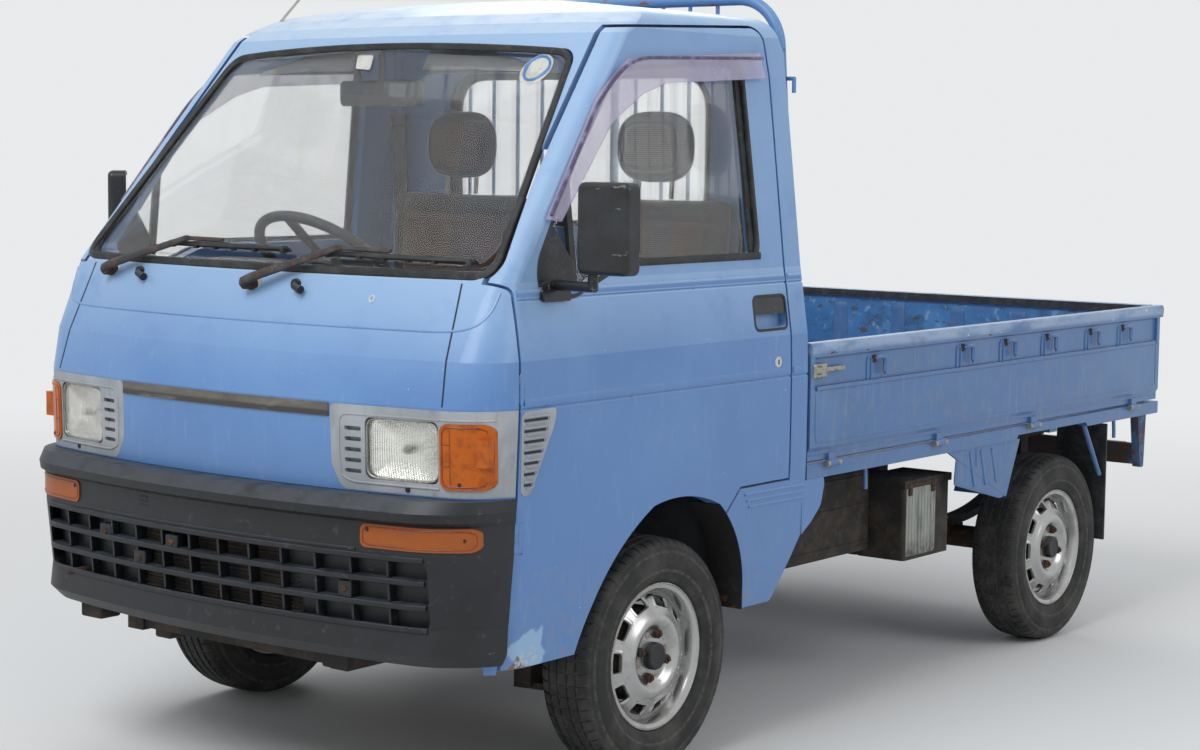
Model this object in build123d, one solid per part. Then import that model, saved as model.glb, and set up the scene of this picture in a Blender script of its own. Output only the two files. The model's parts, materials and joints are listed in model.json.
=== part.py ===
from build123d import *
import functools
import math
import os

# A small cab-over pickup truck with drop sides. Millimetres.
# +Z is up, the truck faces -Y and +X is its left side.
# The origin is on the ground, midway along the truck's length.

# Driving dimensions of the whole truck
LENGTH = 3295.0
WHEELBASE = 1900.0
FRONT_OVERHANG = 772.0
AXLE_FRONT = FRONT_OVERHANG - LENGTH / 2
SEAT_GAP = 0.3

# Cab
CAB_REAR = 540.0
CAB_WALL = 40.0
CAB_TOP = 1737.0
NOSE_RADIUS = 2900.0
CROWN_RADIUS = 4000.0
SHUT_GAP = 6.5
CAB_HEM = 318.0

# Cab outline at each height: half width, distance of the nose ahead of
# the front axle, radius of the front corner, and the share of an inset
# by which the row also goes down
CAB_SECTIONS = [
    {"z": 260.0, "half_width": 676.0, "nose": 640.0, "corner": 120.0, "lower": 0.0},
    {"z": 430.0, "half_width": 688.0, "nose": 680.0, "corner": 125.0, "lower": 0.0},
    {"z": 672.0, "half_width": 695.0, "nose": 690.0, "corner": 130.0, "lower": 0.0},
    {"z": 686.0, "half_width": 695.0, "nose": 700.0, "corner": 130.0, "lower": 0.0},
    {"z": 868.0, "half_width": 695.0, "nose": 705.0, "corner": 130.0, "lower": 0.0},
    {"z": 960.0, "half_width": 692.0, "nose": 680.0, "corner": 102.0, "lower": 0.0},
    {"z": 1082.0, "half_width": 674.0, "nose": 625.0, "corner": 66.0, "lower": 0.0},
    {"z": 1118.0, "half_width": 668.0, "nose": 609.0, "corner": 46.0, "lower": 0.0},
    {"z": 1414.0, "half_width": 634.0, "nose": 356.0, "corner": 42.0, "lower": 0.0},
    {"z": 1640.0, "half_width": 607.0, "nose": 160.0, "corner": 42.0, "lower": 0.0},
    {"z": 1665.0, "half_width": 604.0, "nose": 118.0, "corner": 62.0, "lower": 0.5},
    {"z": 1690.0, "half_width": 600.0, "nose": 58.0, "corner": 90.0, "lower": 0.7},
    {"z": 1712.0, "half_width": 598.0, "nose": -20.0, "corner": 120.0, "lower": 0.9},
    {"z": 1729.0, "half_width": 596.0, "nose": -120.0, "corner": 150.0, "lower": 1.0},
    {"z": 1744.0, "half_width": 594.0, "nose": -250.0, "corner": 150.0, "lower": 1.0},
]

# Rear end of the roof in the side view: place behind the front axle, height, radius
ROOF_LINE = [
    (-1000.0, CAB_TOP + 2.0, 0.0),
    (410.0, CAB_TOP + 2.0, 120.0),
    (505.0, 1692.0, 60.0),
    (548.0, 1600.0, 0.0),
    (700.0, 1300.0, 0.0),
]
ROOF_SHOULDER = 62.0
ROOF_WALL = (1450.0, 1640.0)

# Door outline in the side view: place behind the front axle, height, corner radius
DOOR_OUTLINE = [
    (-545.0, 300.0, 0.0),
    (-522.0, 864.0, 0.0),
    (-516.0, 1104.0, 18.0),
    (-549.0, 1119.0, 0.0),
    (-473.0, 1240.0, 0.0),
    (-322.0, 1428.0, 0.0),
    (-118.0, 1653.0, 100.0),
    (455.0, 1676.0, 48.0),
    (470.0, 1560.0, 0.0),
    (470.0, 618.0, 0.0),
    (268.0, 618.0, 12.0),
    (190.0, 540.0, 0.0),
    (0.0, 420.0, 0.0),
    (-200.0, 300.0, 0.0),
]
DOOR_HEM = 327.0
DOOR_DEPTH = 44.0
DOOR_ROOM = 56.0
DOOR_AXIS_X = 689.0
DOOR_AXIS_Y = -517.0
DOOR_HINGE_HEIGHTS = (600.0, 905.0)
DOOR_PIN = 2.4
DOOR_BARREL = 4.5
DOOR_BARREL_LENGTH = 18.0
PIN_CLEARANCE = 0.05

# Side window outline in the door: place, height, corner radius
WINDOW_OUTLINE = [
    (372.0, 1143.0, 14.0),
    (-150.0, 1143.0, 60.0),
    (-322.0, 1082.0, 25.0),
    (-431.0, 1082.0, 26.0),
    (-436.0, 1150.0, 30.0),
    (-290.0, 1357.0, 0.0),
    (-112.0, 1562.0, 55.0),
    (362.0, 1592.0, 22.0),
]
GLASS = 4.0

# Front wheel arch, as arcs through three points each: place and height
ARCH_ARCS = [
    ((-346.0, 250.0), (-200.0, 513.0), (-60.0, 615.0)),
    ((-60.0, 615.0), (70.0, 622.0), (190.0, 590.0)),
    ((190.0, 590.0), (262.0, 500.0), (285.0, 380.0)),
]
ARCH_FOOT = 250.0

# What is cut off the cab's lower rear corner, in the side view
QUARTER_CUT = [
    (285.0, 200.0, 0.0),
    (285.0, 333.0, 0.0),
    (415.0, 333.0, 20.0),
    (541.0, 494.0, 0.0),
    (620.0, 494.0, 0.0),
    (620.0, 200.0, 0.0),
]

# What the lower rear corner has behind the cab's back wall, in the side view
QUARTER_TAIL = [
    (530.0, 478.0, 0.0),
    (570.0, 503.0, 40.0),
    (613.0, 539.0, 40.0),
    (627.0, 590.0, 10.0),
    (624.0, 605.7, 0.0),
    (530.0, 605.7, 0.0),
]
TAIL_INNER = 664.0

# Creases pressed along the cab's sides: their lower and upper edge
SIDE_CREASES = [(857.0, 868.0), (1077.0, 1087.0)]
SIDE_CREASE_FRONT = -560.0
CREASE_DEPTH = 3.0

# Windscreen: outer edge of its rubber, in the front view, and the rubber's widths
SCREEN_HALF_BOTTOM = 638.0
SCREEN_HALF_TOP = 531.0
SCREEN_BOTTOM = 1121.0
SCREEN_TOP = 1604.0
SCREEN_RISE = 20.0
SCREEN_CORNER = 45.0
RUBBER_WIDTH = 30.0
RUBBER_PROUD = 5.0
RUBBER_DEPTH = 20.0

# Rear window of the cab
REAR_WINDOW_WIDTH = 860.0
REAR_WINDOW_SILL = 1190.0
REAR_WINDOW_HEIGHT = 390.0
REAR_WINDOW_CORNER = 90.0

# Lamps and bezels, in the front view
NOSE_CUT = 640.0
BEZEL_INNER_TOP = 321.0
BEZEL_KNEE = (323.0, 738.0)
BEZEL_INNER_BOTTOM = 350.0
BEZEL_BOTTOM = 688.0
BEZEL_TOP = 864.0
BEZEL_DEPTH = 34.0
LAMP_INNER = 409.0
LAMP_OUTER = 583.0
LAMP_BOTTOM = 713.0
LAMP_TOP = 840.0
TURN_INNER = 588.0
TURN_BOTTOM = 704.0
TURN_TOP = 838.0
TURN_END = 530.0
TURN_PROUD = 4.0
MARKER = (645.0, 685.0, -612.0, -588.0, 752.0, 808.0)
LOUVRE_COUNT = 5
LOUVRE_PITCH = 22.0
GARNISH_HEIGHT = 28.0

# Front bumper
BUMPER_SECTIONS = [
    {"z": 340.0, "half_width": 684.0, "nose": 718.0, "corner": 190.0, "lower": 0.0},
    {"z": 366.0, "half_width": 689.0, "nose": 745.0, "corner": 190.0, "lower": 0.0},
    {"z": 420.0, "half_width": 691.0, "nose": 738.0, "corner": 195.0, "lower": 0.0},
    {"z": 566.0, "half_width": 696.0, "nose": 750.0, "corner": 190.0, "lower": 0.0},
    {"z": 632.0, "half_width": 696.0, "nose": 748.0, "corner": 185.0, "lower": 0.0},
    {"z": 642.0, "half_width": 697.5, "nose": 769.0, "corner": 200.0, "lower": 0.0},
    {"z": 660.0, "half_width": 697.5, "nose": 772.0, "corner": 200.0, "lower": 0.0},
    {"z": 684.0, "half_width": 696.0, "nose": 752.0, "corner": 180.0, "lower": 0.0},
]
BUMPER_WALL = 9.0
GRILLE_HALF = 588.0
GRILLE_BOTTOM = 414.0
GRILLE_TOP = 566.0
GRILLE_DEPTH = 26.0
GRILLE_BAR = 13.0
GRILLE_ROWS = 3
GRILLE_RIB = 6.0
GRILLE_COLUMNS = 13
GRILLE_BLIND = 4
BUMPER_LAMP_INNER = 438.0
BUMPER_LAMP_OUTER = 672.0
BUMPER_LAMP_BOTTOM = 581.0
BUMPER_LAMP_TOP = 630.0

# Frame and floor
RAIL_INNER = 295.0
RAIL_WIDTH = 50.0
RAIL_HEIGHT = 82.0
RAIL_FRONT = -658.0
RAIL_LOW = 298.0
RAIL_HIGH = 518.0
RAIL_KICK = (600.0, 850.0)
RAIL_REAR = 2440.0
FLOOR_SHEET = 16.0
TOE_WALL = -352.0
WELL_REAR = 330.0
WELL_INNER = 352.0
SEAT_BASE = 650.0

# Load bed
BED_FRONT = 552.0
BED_FLOOR = 650.0
BED_SHEET = 14.0
BED_HALF = 690.0
SILL_BOTTOM = 606.0
SILL_TOP = 642.0
SILL_WIDTH = 30.0
GATE_TOP = 934.0
GATE_BOTTOM = 650.0
GATE_FACE = 696.0
GATE_THICK = 26.0
GATE_AXIS_X = 699.0
GATE_AXIS_Z = 639.0
GATE_PIN = 4.0
GATE_BARREL = 8.0
GATE_BARREL_LENGTH = 34.0
GATE_LUG_LENGTH = 12.0
GATE_HINGES = (652.0, 1169.0, 1688.0, 2320.0)
GATE_HOOKS = (879.0, 1325.0, 1559.0, 1799.0, 2067.0, 2277.0)
TAILGATE_FACE = 2512.0
TAILGATE_HALF = 660.0
TAILGATE_HINGES = (-480.0, 0.0, 480.0)
BOARD_TOP = 945.0
BOARD_SEAT = 3.0
HOOP_TOP = 1750.0
HOOP_TUBE = 14.0
HOOP_BEND = 120.0
HOOP_HOOK = (622.0, 1560.0, 1526.0, 5.0)

# Wheels
TRACK_HALF = 602.0
TYRE_RADIUS = 266.0
WHEEL_CENTRE = TYRE_RADIUS
TYRE_WIDTH = 145.0
RIM_RADIUS = 166.0
RIM_HALF = 57.0
BEAD_RADIUS = 152.0
RIM_SHEET = 4.0
DISC_FACE = 42.0
SLOT_COUNT = 10
SPINDLE = 15.0
DRUM_RADIUS = 108.0
KINGPIN_X = 530.0
KINGPIN = 9.0

# Steering wheel
STEER_X = -312.0
STEER_Y = -48.0
STEER_Z = 1101.0
STEER_TILT = 40.0
STEER_RADIUS = 188.0
STEER_GRIP = 13.0

# Fittings of the left door
DOOR_GLASS_INSET = 16.0
HANDLE_FRONT = 328.0
HANDLE_REAR = 456.0
HANDLE_LOW = 978.0
HANDLE_MIDDLE = 1012.0
HANDLE_TOP = 1052.0
HANDLE_POCKET = 22.0
VENT_SLOT = 8.0
VENT_DEPTH = 8.0
VENT_SLOTS = [
    {"z": 838.0, "front": -504.0, "rear": -436.0},
    {"z": 816.0, "front": -505.0, "rear": -442.0},
    {"z": 794.0, "front": -506.0, "rear": -448.0},
    {"z": 772.0, "front": -507.0, "rear": -456.0},
    {"z": 750.0, "front": -508.0, "rear": -466.0},
    {"z": 728.0, "front": -509.0, "rear": -478.0},
    {"z": 706.0, "front": -510.0, "rear": -488.0},
]
MIRROR_INNER = 752.0
MIRROR_OUTER = 884.0
MIRROR_LOW = 1136.0
MIRROR_TOP = 1323.0
MIRROR_DEPTH = 42.0
MIRROR_Y = -400.0
MIRROR_FOLD_RIGHT = 42.0
MIRROR_FOOT_X = 676.0
MIRROR_FOOT = [(-437.0, 1076.0, 12.0), (-340.0, 1076.0, 12.0), (-352.0, 1120.0, 12.0), (-437.0, 1120.0, 12.0)]
VISOR_STAND = 16.0
VISOR_OUTER = [
    (437.0, 1555.0, 0.0),
    (418.0, 1616.0, 0.0),
    (-76.0, 1586.0, 60.0),
    (-189.0, 1506.0, 100.0),
    (-399.0, 1243.0, 0.0),
]
VISOR_INNER = [(-363.0, 1239.0, 0.0), (-165.0, 1446.0, 80.0), (-49.0, 1508.0, 100.0), (42.0, 1535.0, 0.0)]

# Remaining places of small pieces
TURN_OUTER = 681.0
LOUVRE_INNER = 358.0
LOUVRE_BOTTOM = 722.0
LOUVRE_SLOT = 9.0
LOUVRE_DEPTH = 14.0
RAIL_SHEET = 5.0
CROSS_LOW = (-620.0, -345.0, 480.0)
CROSS_HIGH = (935.0, 1420.0, 2400.0)
CROSS_WIDTH = 60.0
KNUCKLE_PLATE = 548.0
SPINDLE_END = 52.0
SPINDLE_STEER = 8.0
ARM_LEVEL = 106.0
ARM_SHEET = 15.0
PIN_INNER = 46.0
DAMPER_X = 440.0
AXLE_TUBE = 32.0
DIFF_RADIUS = 98.0
SPRING_LOW = 300.0
SPRING_RISE = 150.0
SPRING_REACH = 430.0
SPRING_PACK = 22.0
BED_BEAMS = (620.0, 930.0, 1250.0, 1570.0, 1880.0, 2176.0, 2440.0)
ARCH_REAR = (1600.0, 2040.0)
HOOK = 4.0
HOOK_Z = 880.0
GATE_END = 2489.0
GATE_RAIL_END = 2509.0
TAILGATE_HOOKS = (-400.0, 0.0, 400.0)
HOOP_FOOT = 628.0
HOOP_SHOULDER = 572.0
GUARD_POSTS = (85.0,)
GUARD_BARS = 4
GUARD_FIRST = 151.0
GUARD_PITCH = 82.0
GUARD_X = 684.0
MUDGUARD = ((1238.0, 605.7), (1564.0, 452.0), (1636.0, 605.7))
FLAP_Y = 2176.0

# Wipers: spindle, elbow, arm tip and blade ends, each as x, height, lift off the nose
WIPERS = [
    {"pivot": (24.0, 1092.0, 26.0), "elbow": (250.0, 1177.0, 42.0), "tip": (377.0, 1174.0, 26.0),
     "end_a": (201.0, 1163.0, 22.0), "end_b": (581.0, 1157.0, 22.0)},
    {"pivot": (-480.0, 1100.0, 26.0), "elbow": (-221.0, 1182.0, 42.0), "tip": (-110.0, 1181.0, 26.0),
     "end_a": (-298.0, 1168.0, 22.0), "end_b": (90.0, 1167.0, 22.0)},
]

# Cabin
DASH_OUTLINE = [
    (-700.0, 1070.0, 0.0),
    (-300.0, 1062.0, 40.0),
    (-262.0, 1000.0, 30.0),
    (-310.0, 850.0, 30.0),
    (-700.0, 830.0, 0.0),
]
SEAT_X = 312.0
SEAT_WIDTH = 490.0
SEAT_THICK = 115.0
SEAT_BACK_OUTLINE = [(370.3, 650.3, 0.0), (398.0, 1290.0, 25.0), (478.0, 1290.0, 25.0), (450.0, 650.3, 10.0)]
HEADREST_WIDTH = 215.0
HEADREST_LOW = 1312.0
HEADREST_TOP = 1478.0
HEADREST_Y = 440.0
SUN_VISOR_OUTLINE = [
    (-118.0, 1690.0, 0.0),
    (-176.0, 1560.0, 4.0),
    (-160.0, 1554.0, 4.0),
    (-98.0, 1690.0, 0.0),
]


def aft(distance):
    """The y of a place that is so far behind the front axle."""
    return AXLE_FRONT + distance


def rounded(points):
    """A closed outline of straight runs with its own corner radius at each point."""
    edges = []
    count = len(points)
    joins = []
    for i, (u, v, radius) in enumerate(points):
        here = Vector(u, v)
        before = Vector(*points[i - 1][:2]) - here
        after = Vector(*points[(i + 1) % count][:2]) - here
        if radius == 0:
            joins.append((here, None, here))
            continue
        turn = math.radians(before.get_angle(after)) / 2
        reach = min(radius / math.tan(turn), 0.49 * before.length, 0.49 * after.length)
        start = here + before.normalized() * reach
        end = here + after.normalized() * reach
        bisector = (before.normalized() + after.normalized()).normalized()
        real = reach * math.tan(turn)
        middle = here + bisector * (real / math.sin(turn) - real)
        joins.append((start, middle, end))
    for i, (start, middle, end) in enumerate(joins):
        if middle is not None:
            edges.append(ThreePointArc(start, middle, end))
        following = joins[(i + 1) % count][0]
        if (following - end).length > 0.01:
            edges.append(Line(end, following))
    return make_face(edges)


def side_prism(face, x0, x1):
    """A side-view outline, drawn as distance behind the axle and height, given width."""
    return extrude(Pos(x0, AXLE_FRONT, 0) * (Plane.YZ * face), x1 - x0, dir=(1, 0, 0))


def front_prism(face, y0, y1):
    """A front-view outline given depth between two places behind the axle."""
    return extrude(Pos(0, aft(y0), 0) * (Plane.XZ * face), y1 - y0, dir=(0, 1, 0))


def box(x0, x1, y0, y1, z0, z1):
    """A block between two corners, with y given behind the front axle."""
    centre = ((x0 + x1) / 2, aft((y0 + y1) / 2), (z0 + z1) / 2)
    return Pos(*centre) * Box(abs(x1 - x0), abs(y1 - y0), abs(z1 - z0))


def rectangle(u0, u1, v0, v1, radius=0.0):
    """A face between two corners with rounded corners."""
    return rounded([(u0, v0, radius), (u1, v0, radius), (u1, v1, radius), (u0, v1, radius)])


def both_sides(shape):
    """The shape and its mirror image across the truck's middle plane."""
    return Compound(children=list(shape.solids()) + list(mirror(shape, about=Plane.YZ).solids()))


def right_side(shape):
    """The same piece on the right-hand side."""
    return mirror(shape, about=Plane.YZ)


def plan_section(row, inset, rear):
    """A level section: flat back and sides, round corners and a bowed nose."""
    half = row["half_width"] - inset
    nose = aft(-row["nose"]) + inset
    corner = max(row["corner"] - inset, 8.0)
    bow = NOSE_RADIUS - inset
    bow_centre = nose + bow
    corner_y = bow_centre - math.sqrt((bow - corner) ** 2 - (half - corner) ** 2)
    away = Vector(half - corner, corner_y - bow_centre).normalized()
    tangent = Vector(0, bow_centre) + away * bow
    middle = Vector(half - corner, corner_y) + (away + Vector(1, 0)).normalized() * corner
    side = Vector(half, corner_y)
    back = aft(rear) - inset

    def other(point):
        return Vector(-point.X, point.Y)

    edges = [
        Line((-half, back), (half, back)),
        Line((half, back), side),
        ThreePointArc(side, middle, tangent),
        ThreePointArc(tangent, Vector(0, nose), other(tangent)),
        ThreePointArc(other(tangent), other(middle), other(side)),
        Line(other(side), (-half, back)),
    ]
    return Pos(0, 0, row["z"] - inset * row["lower"]) * make_face(edges)


def roof_profile(drop):
    """Front view of the roof: a crown with round shoulders, and ledges beyond the side walls."""
    low, high = ROOF_WALL
    foot = Vector(side_half_width(high), high)
    wall = (foot - Vector(side_half_width(low), low)).normalized()
    away = Vector(wall.Y, -wall.X)
    crown = Vector(0, CAB_TOP - CROWN_RADIUS)
    radius = max(ROOF_SHOULDER - drop, 12.0)
    reach = CROWN_RADIUS - drop - radius
    depth = away.dot(foot - crown) - drop + 0.5 - radius
    centre = crown + away * depth + wall * math.sqrt(reach ** 2 - depth ** 2)
    up = (centre - crown).normalized()
    edge = centre + away * radius
    middle = centre + (away + up).normalized() * radius
    top = crown + up * (CROWN_RADIUS - drop)

    def other(point):
        return Vector(-point.X, point.Y)

    return make_face([
        Polyline(other(edge), (-800, edge.Y), (-800, 0), (800, 0), (800, edge.Y), edge),
        ThreePointArc(edge, middle, top),
        ThreePointArc(top, Vector(0, CAB_TOP - drop), other(top)),
        ThreePointArc(other(top), other(middle), other(edge)),
    ])


def roof_limit(drop):
    """Everything under the crowned roof line, lowered by the drop."""
    line = [(u, v - drop, radius) for u, v, radius in ROOF_LINE]
    under = [(line[-1][0], 0.0, 0.0), (line[0][0], 0.0, 0.0)]
    return side_prism(rounded(line + under), -800, 800) & front_prism(roof_profile(drop), -1100, 900)


@functools.cache
def cab_solid(inset):
    """The closed outer form of the cab, moved inwards by the inset."""
    sections = [plan_section(row, inset, CAB_REAR) for row in CAB_SECTIONS]
    return loft(sections, ruled=True) & roof_limit(inset)


def side_half_width(z):
    """Half width of the cab's side at a height, between the listed sections."""
    for low, high in zip(CAB_SECTIONS, CAB_SECTIONS[1:]):
        if low["z"] <= z <= high["z"]:
            share = (z - low["z"]) / (high["z"] - low["z"])
            return low["half_width"] + share * (high["half_width"] - low["half_width"])
    raise ValueError(z)


def side_creases():
    """Narrow wedges that press the creases into the left side."""
    cuts = []
    for low, high in SIDE_CREASES:
        middle = (low + high) / 2
        wedge = [(side_half_width(low) + 1, low, 0.0), (side_half_width(high) + 1, high, 0.0),
                 (side_half_width(middle) - CREASE_DEPTH, middle, 0.0)]
        cuts.append(front_prism(rounded(wedge), SIDE_CREASE_FRONT, CAB_REAR + 1))
    return cuts[0] + cuts[1]


def side_slab(depth):
    """The left-hand zone outside a surface that lies so deep under the cab's side."""
    inner = [(row["half_width"] - depth, row["z"], 0.0) for row in CAB_SECTIONS]
    outer = [(800.0, CAB_SECTIONS[-1]["z"], 0.0), (800.0, CAB_SECTIONS[0]["z"], 0.0)]
    return front_prism(rounded(inner + outer), -900, 900)


def arch_prism():
    """The opening of the left front wheel arch."""
    edges = [ThreePointArc(*arc) for arc in ARCH_ARCS]
    last = ARCH_ARCS[-1][-1]
    first = ARCH_ARCS[0][0]
    edges.append(Line(last, (last[0], ARCH_FOOT)))
    edges.append(Line((last[0], ARCH_FOOT), (first[0], ARCH_FOOT)))
    return side_prism(make_face(edges), WELL_INNER, 800)


def door_prism(spread):
    """The door's outline across the side wall, grown by the spread."""
    face = rounded(DOOR_OUTLINE)
    if spread:
        face = offset(face, spread, kind=Kind.INTERSECTION)
    return side_prism(face, 500, 800)


def window_prism(spread):
    """The side window's outline, grown by the spread."""
    return side_prism(offset(rounded(WINDOW_OUTLINE), spread, kind=Kind.INTERSECTION), 500, 800)


def screen_prism(inset):
    """The windscreen's outline in the front view, moved inwards."""
    bottom = SCREEN_BOTTOM + inset
    top = SCREEN_TOP - inset
    lean = (SCREEN_HALF_BOTTOM - SCREEN_HALF_TOP) / (SCREEN_TOP - SCREEN_BOTTOM)
    half_bottom = SCREEN_HALF_BOTTOM - inset * (1 + lean)
    half_top = SCREEN_HALF_TOP - inset * (1 - lean)
    corner = SCREEN_CORNER + inset * 0.3
    points = [
        (half_bottom, bottom, corner),
        (half_top, top, corner),
        (0.0, top + SCREEN_RISE, 900.0),
        (-half_top, top, corner),
        (-half_bottom, bottom, corner),
    ]
    return front_prism(rounded(points), -900, 300)


def cab_skin(outer_inset, inner_inset):
    """A skin of the cab's form between two insets."""
    return cab_solid(outer_inset) - cab_solid(inner_inset)


def bezel_prism(inset):
    """Outline of the left lamp bezel in the front view."""
    points = [
        (BEZEL_INNER_TOP + inset, BEZEL_TOP - inset, 14.0),
        (BEZEL_KNEE[0] + inset, BEZEL_KNEE[1], 40.0),
        (BEZEL_INNER_BOTTOM + inset, BEZEL_BOTTOM + inset, 24.0),
        (760.0, BEZEL_BOTTOM + inset, 0.0),
        (760.0, BEZEL_TOP - inset, 0.0),
    ]
    return front_prism(rounded(points), -900, -480) - shut_line_rear(-SHUT_GAP / 2 - inset)


def cab_shell(outer, inner, garnish):
    """Roof, pillars, nose and back wall as one hollow shell."""
    shell = outer - inner
    shell = shell - box(-800, 800, -900, 900, 200, CAB_HEM)
    shell = shell - side_prism(rounded(QUARTER_CUT), -800, 800)
    shell = shell - box(-NOSE_CUT, NOSE_CUT, -900, -540, 200, RAIL_LOW + RAIL_HEIGHT + FLOOR_SHEET)
    opening = door_prism(SHUT_GAP / 2) & side_slab(DOOR_ROOM + 2)
    opening = opening + arch_prism()
    opening = opening + box(560, 800, DOOR_OUTLINE[0][0], -300, 200, DOOR_HEM + 90)
    opening = opening + (bezel_prism(0) - cab_solid(BEZEL_DEPTH))
    tail = side_prism(rounded(QUARTER_TAIL), TAIL_INNER, side_half_width(BEZEL_BOTTOM) - 3)
    opening = opening + side_creases()
    shell = shell + tail + right_side(tail) - opening - right_side(opening)
    shell = shell - screen_prism(0) - garnish - bumper_clearance()
    rear = rectangle(-REAR_WINDOW_WIDTH / 2, REAR_WINDOW_WIDTH / 2, REAR_WINDOW_SILL,
                     REAR_WINDOW_SILL + REAR_WINDOW_HEIGHT, REAR_WINDOW_CORNER)
    return shell - front_prism(rear, CAB_REAR - 120, CAB_REAR + 50)


def door_shell(outer, inner):
    """The left door: whole thickness, with its window, arch and handle pocket cut."""
    door = (outer - inner) & door_prism(-SHUT_GAP / 2) & side_slab(DOOR_DEPTH)
    door = door - arch_prism() - box(500, 800, -900, 900, 200, DOOR_HEM)
    door = door - window_prism(0) - (screen_prism(-SHUT_GAP) & box(-800, 800, -900, -380, 1000, 1700))
    door = door - side_creases()
    pocket = side_prism(rectangle(HANDLE_FRONT, HANDLE_REAR, HANDLE_LOW, HANDLE_TOP, 12), 500, 800)
    door = door - (pocket & side_slab(HANDLE_POCKET))
    for row in VENT_SLOTS:
        slot = rectangle(row["front"], row["rear"], row["z"], row["z"] + VENT_SLOT, 3)
        door = door - (side_prism(slot, 500, 800) - cab_solid(VENT_DEPTH))
    for z in DOOR_HINGE_HEIGHTS:
        half = DOOR_BARREL_LENGTH * 1.5 + 6
        door = door - box(500, 800, -600, DOOR_AXIS_Y + DOOR_BARREL * 2, z - half, z + half)
        door = door + door_knuckle(z)
    return door


def door_knuckle(z):
    """The middle knuckle of a hinge and its short leaf, on the door."""
    half = DOOR_BARREL_LENGTH / 2
    barrel = Pos(DOOR_AXIS_X, aft(DOOR_AXIS_Y), z) * Cylinder(DOOR_BARREL, DOOR_BARREL_LENGTH)
    leaf = box(DOOR_AXIS_X - DOOR_BARREL, DOOR_AXIS_X, DOOR_AXIS_Y + 1, DOOR_AXIS_Y + 26, z - half, z + half)
    bore = Pos(DOOR_AXIS_X, aft(DOOR_AXIS_Y), z) * Cylinder(DOOR_PIN + PIN_CLEARANCE, DOOR_BARREL_LENGTH + 2)
    return barrel + leaf - bore


def door_hinges():
    """Pins with the knuckles above and below them, on the cab."""
    parts = []
    for z in DOOR_HINGE_HEIGHTS:
        hinge = Pos(DOOR_AXIS_X, aft(DOOR_AXIS_Y), z) * Cylinder(DOOR_PIN, DOOR_BARREL_LENGTH * 2.5)
        for side in (-1, 1):
            level = z + side * (DOOR_BARREL_LENGTH + 1)
            half = DOOR_BARREL_LENGTH / 2
            knuckle = Pos(DOOR_AXIS_X, aft(DOOR_AXIS_Y), level) * Cylinder(DOOR_BARREL, DOOR_BARREL_LENGTH)
            inner = DOOR_AXIS_X - DOOR_BARREL * 6
            leaf = box(inner, DOOR_AXIS_X + 3, -600, DOOR_AXIS_Y, level - half, level + half)
            hinge = hinge + knuckle + leaf
        parts.append(hinge & door_prism(SHUT_GAP / 2 - 0.1))
    return both_sides(Compound(children=parts))


def door_glass():
    """The left door's window glass, inside the door's thickness."""
    return cab_skin(DOOR_GLASS_INSET, DOOR_GLASS_INSET + GLASS) & window_prism(-SEAT_GAP)


def door_mirror(fold):
    """The left door's mirror on its arm, turned back round its foot by the fold."""
    head = Pos((MIRROR_INNER + MIRROR_OUTER) / 2, aft(MIRROR_Y), (MIRROR_LOW + MIRROR_TOP) / 2)
    shape = Box(MIRROR_OUTER - MIRROR_INNER, MIRROR_DEPTH, MIRROR_TOP - MIRROR_LOW)
    shape = fillet(shape.edges().filter_by(Axis.Y), 16)
    shape = fillet(shape.faces().sort_by(Axis.Y)[0].edges(), 12)
    mirror_head = head * shape
    arm = rod((MIRROR_FOOT_X, aft(MIRROR_Y + 8), MIRROR_LOW - 26), (MIRROR_INNER + 30, aft(MIRROR_Y + 8),
              MIRROR_LOW - 26), 11)
    neck = rod((MIRROR_INNER + 24, aft(MIRROR_Y + 8), MIRROR_LOW - 30),
               (MIRROR_INNER + 24, aft(MIRROR_Y + 8), MIRROR_LOW + 10), 11)
    foot = cab_skin(-10, -SEAT_GAP) & side_prism(rounded(MIRROR_FOOT), 600, 800)
    hinge = Pos(MIRROR_FOOT_X, aft(MIRROR_Y + 8), 0)
    swung = hinge * Rot(0, 0, fold) * hinge.inverse() * (mirror_head + arm + neck)
    return swung + foot


def door_handle():
    """The pull flap in the left door's pocket."""
    flap = rectangle(HANDLE_FRONT + 1, HANDLE_REAR - 1, HANDLE_MIDDLE, HANDLE_TOP - 1, 10)
    return side_prism(flap, 500, 800) & cab_skin(1, 9)


def door_fittings(fold):
    """Black fittings of the left door: the mirror and the pull flap."""
    return Compound(children=list(door_mirror(fold).solids()) + list(door_handle().solids()))


def door_visor():
    """The rain visor: a flange on the left door's frame and a blade standing off it."""
    strip = side_prism(rounded(VISOR_OUTER + VISOR_INNER), 500, 800)
    inset_outer = [(u + 5, v - 5, r) for u, v, r in VISOR_OUTER]
    flange = strip - side_prism(rounded(inset_outer + [(460.0, 1500.0, 0.0), (460.0, 1200.0, 0.0)]), 500, 800)
    blade = strip & cab_skin(-VISOR_STAND, -VISOR_STAND + 2.5)
    return blade + (flange & cab_skin(-VISOR_STAND, -SEAT_GAP))


def rod(start, end, radius):
    """A round bar between two points."""
    path = Line(start, end)
    return sweep(Plane(origin=start, z_dir=Vector(*end) - Vector(*start)) * Circle(radius), path=path)


def tube(points, bend, radius):
    """A bent tube through points, with arcs of one radius."""
    path = FilletPolyline(*[Vector(*p) for p in points], radius=bend)
    start = Plane(origin=path @ 0, z_dir=path % 0)
    return sweep(start * Circle(radius), path=path)


def windscreen():
    """The front glass and its rubber."""
    glass = cab_skin(6, 6 + GLASS) & screen_prism(RUBBER_WIDTH - 8)
    ring = screen_prism(0) - screen_prism(RUBBER_WIDTH)
    rubber = cab_skin(-RUBBER_PROUD, RUBBER_DEPTH) & ring
    return glass, rubber - glass


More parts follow.
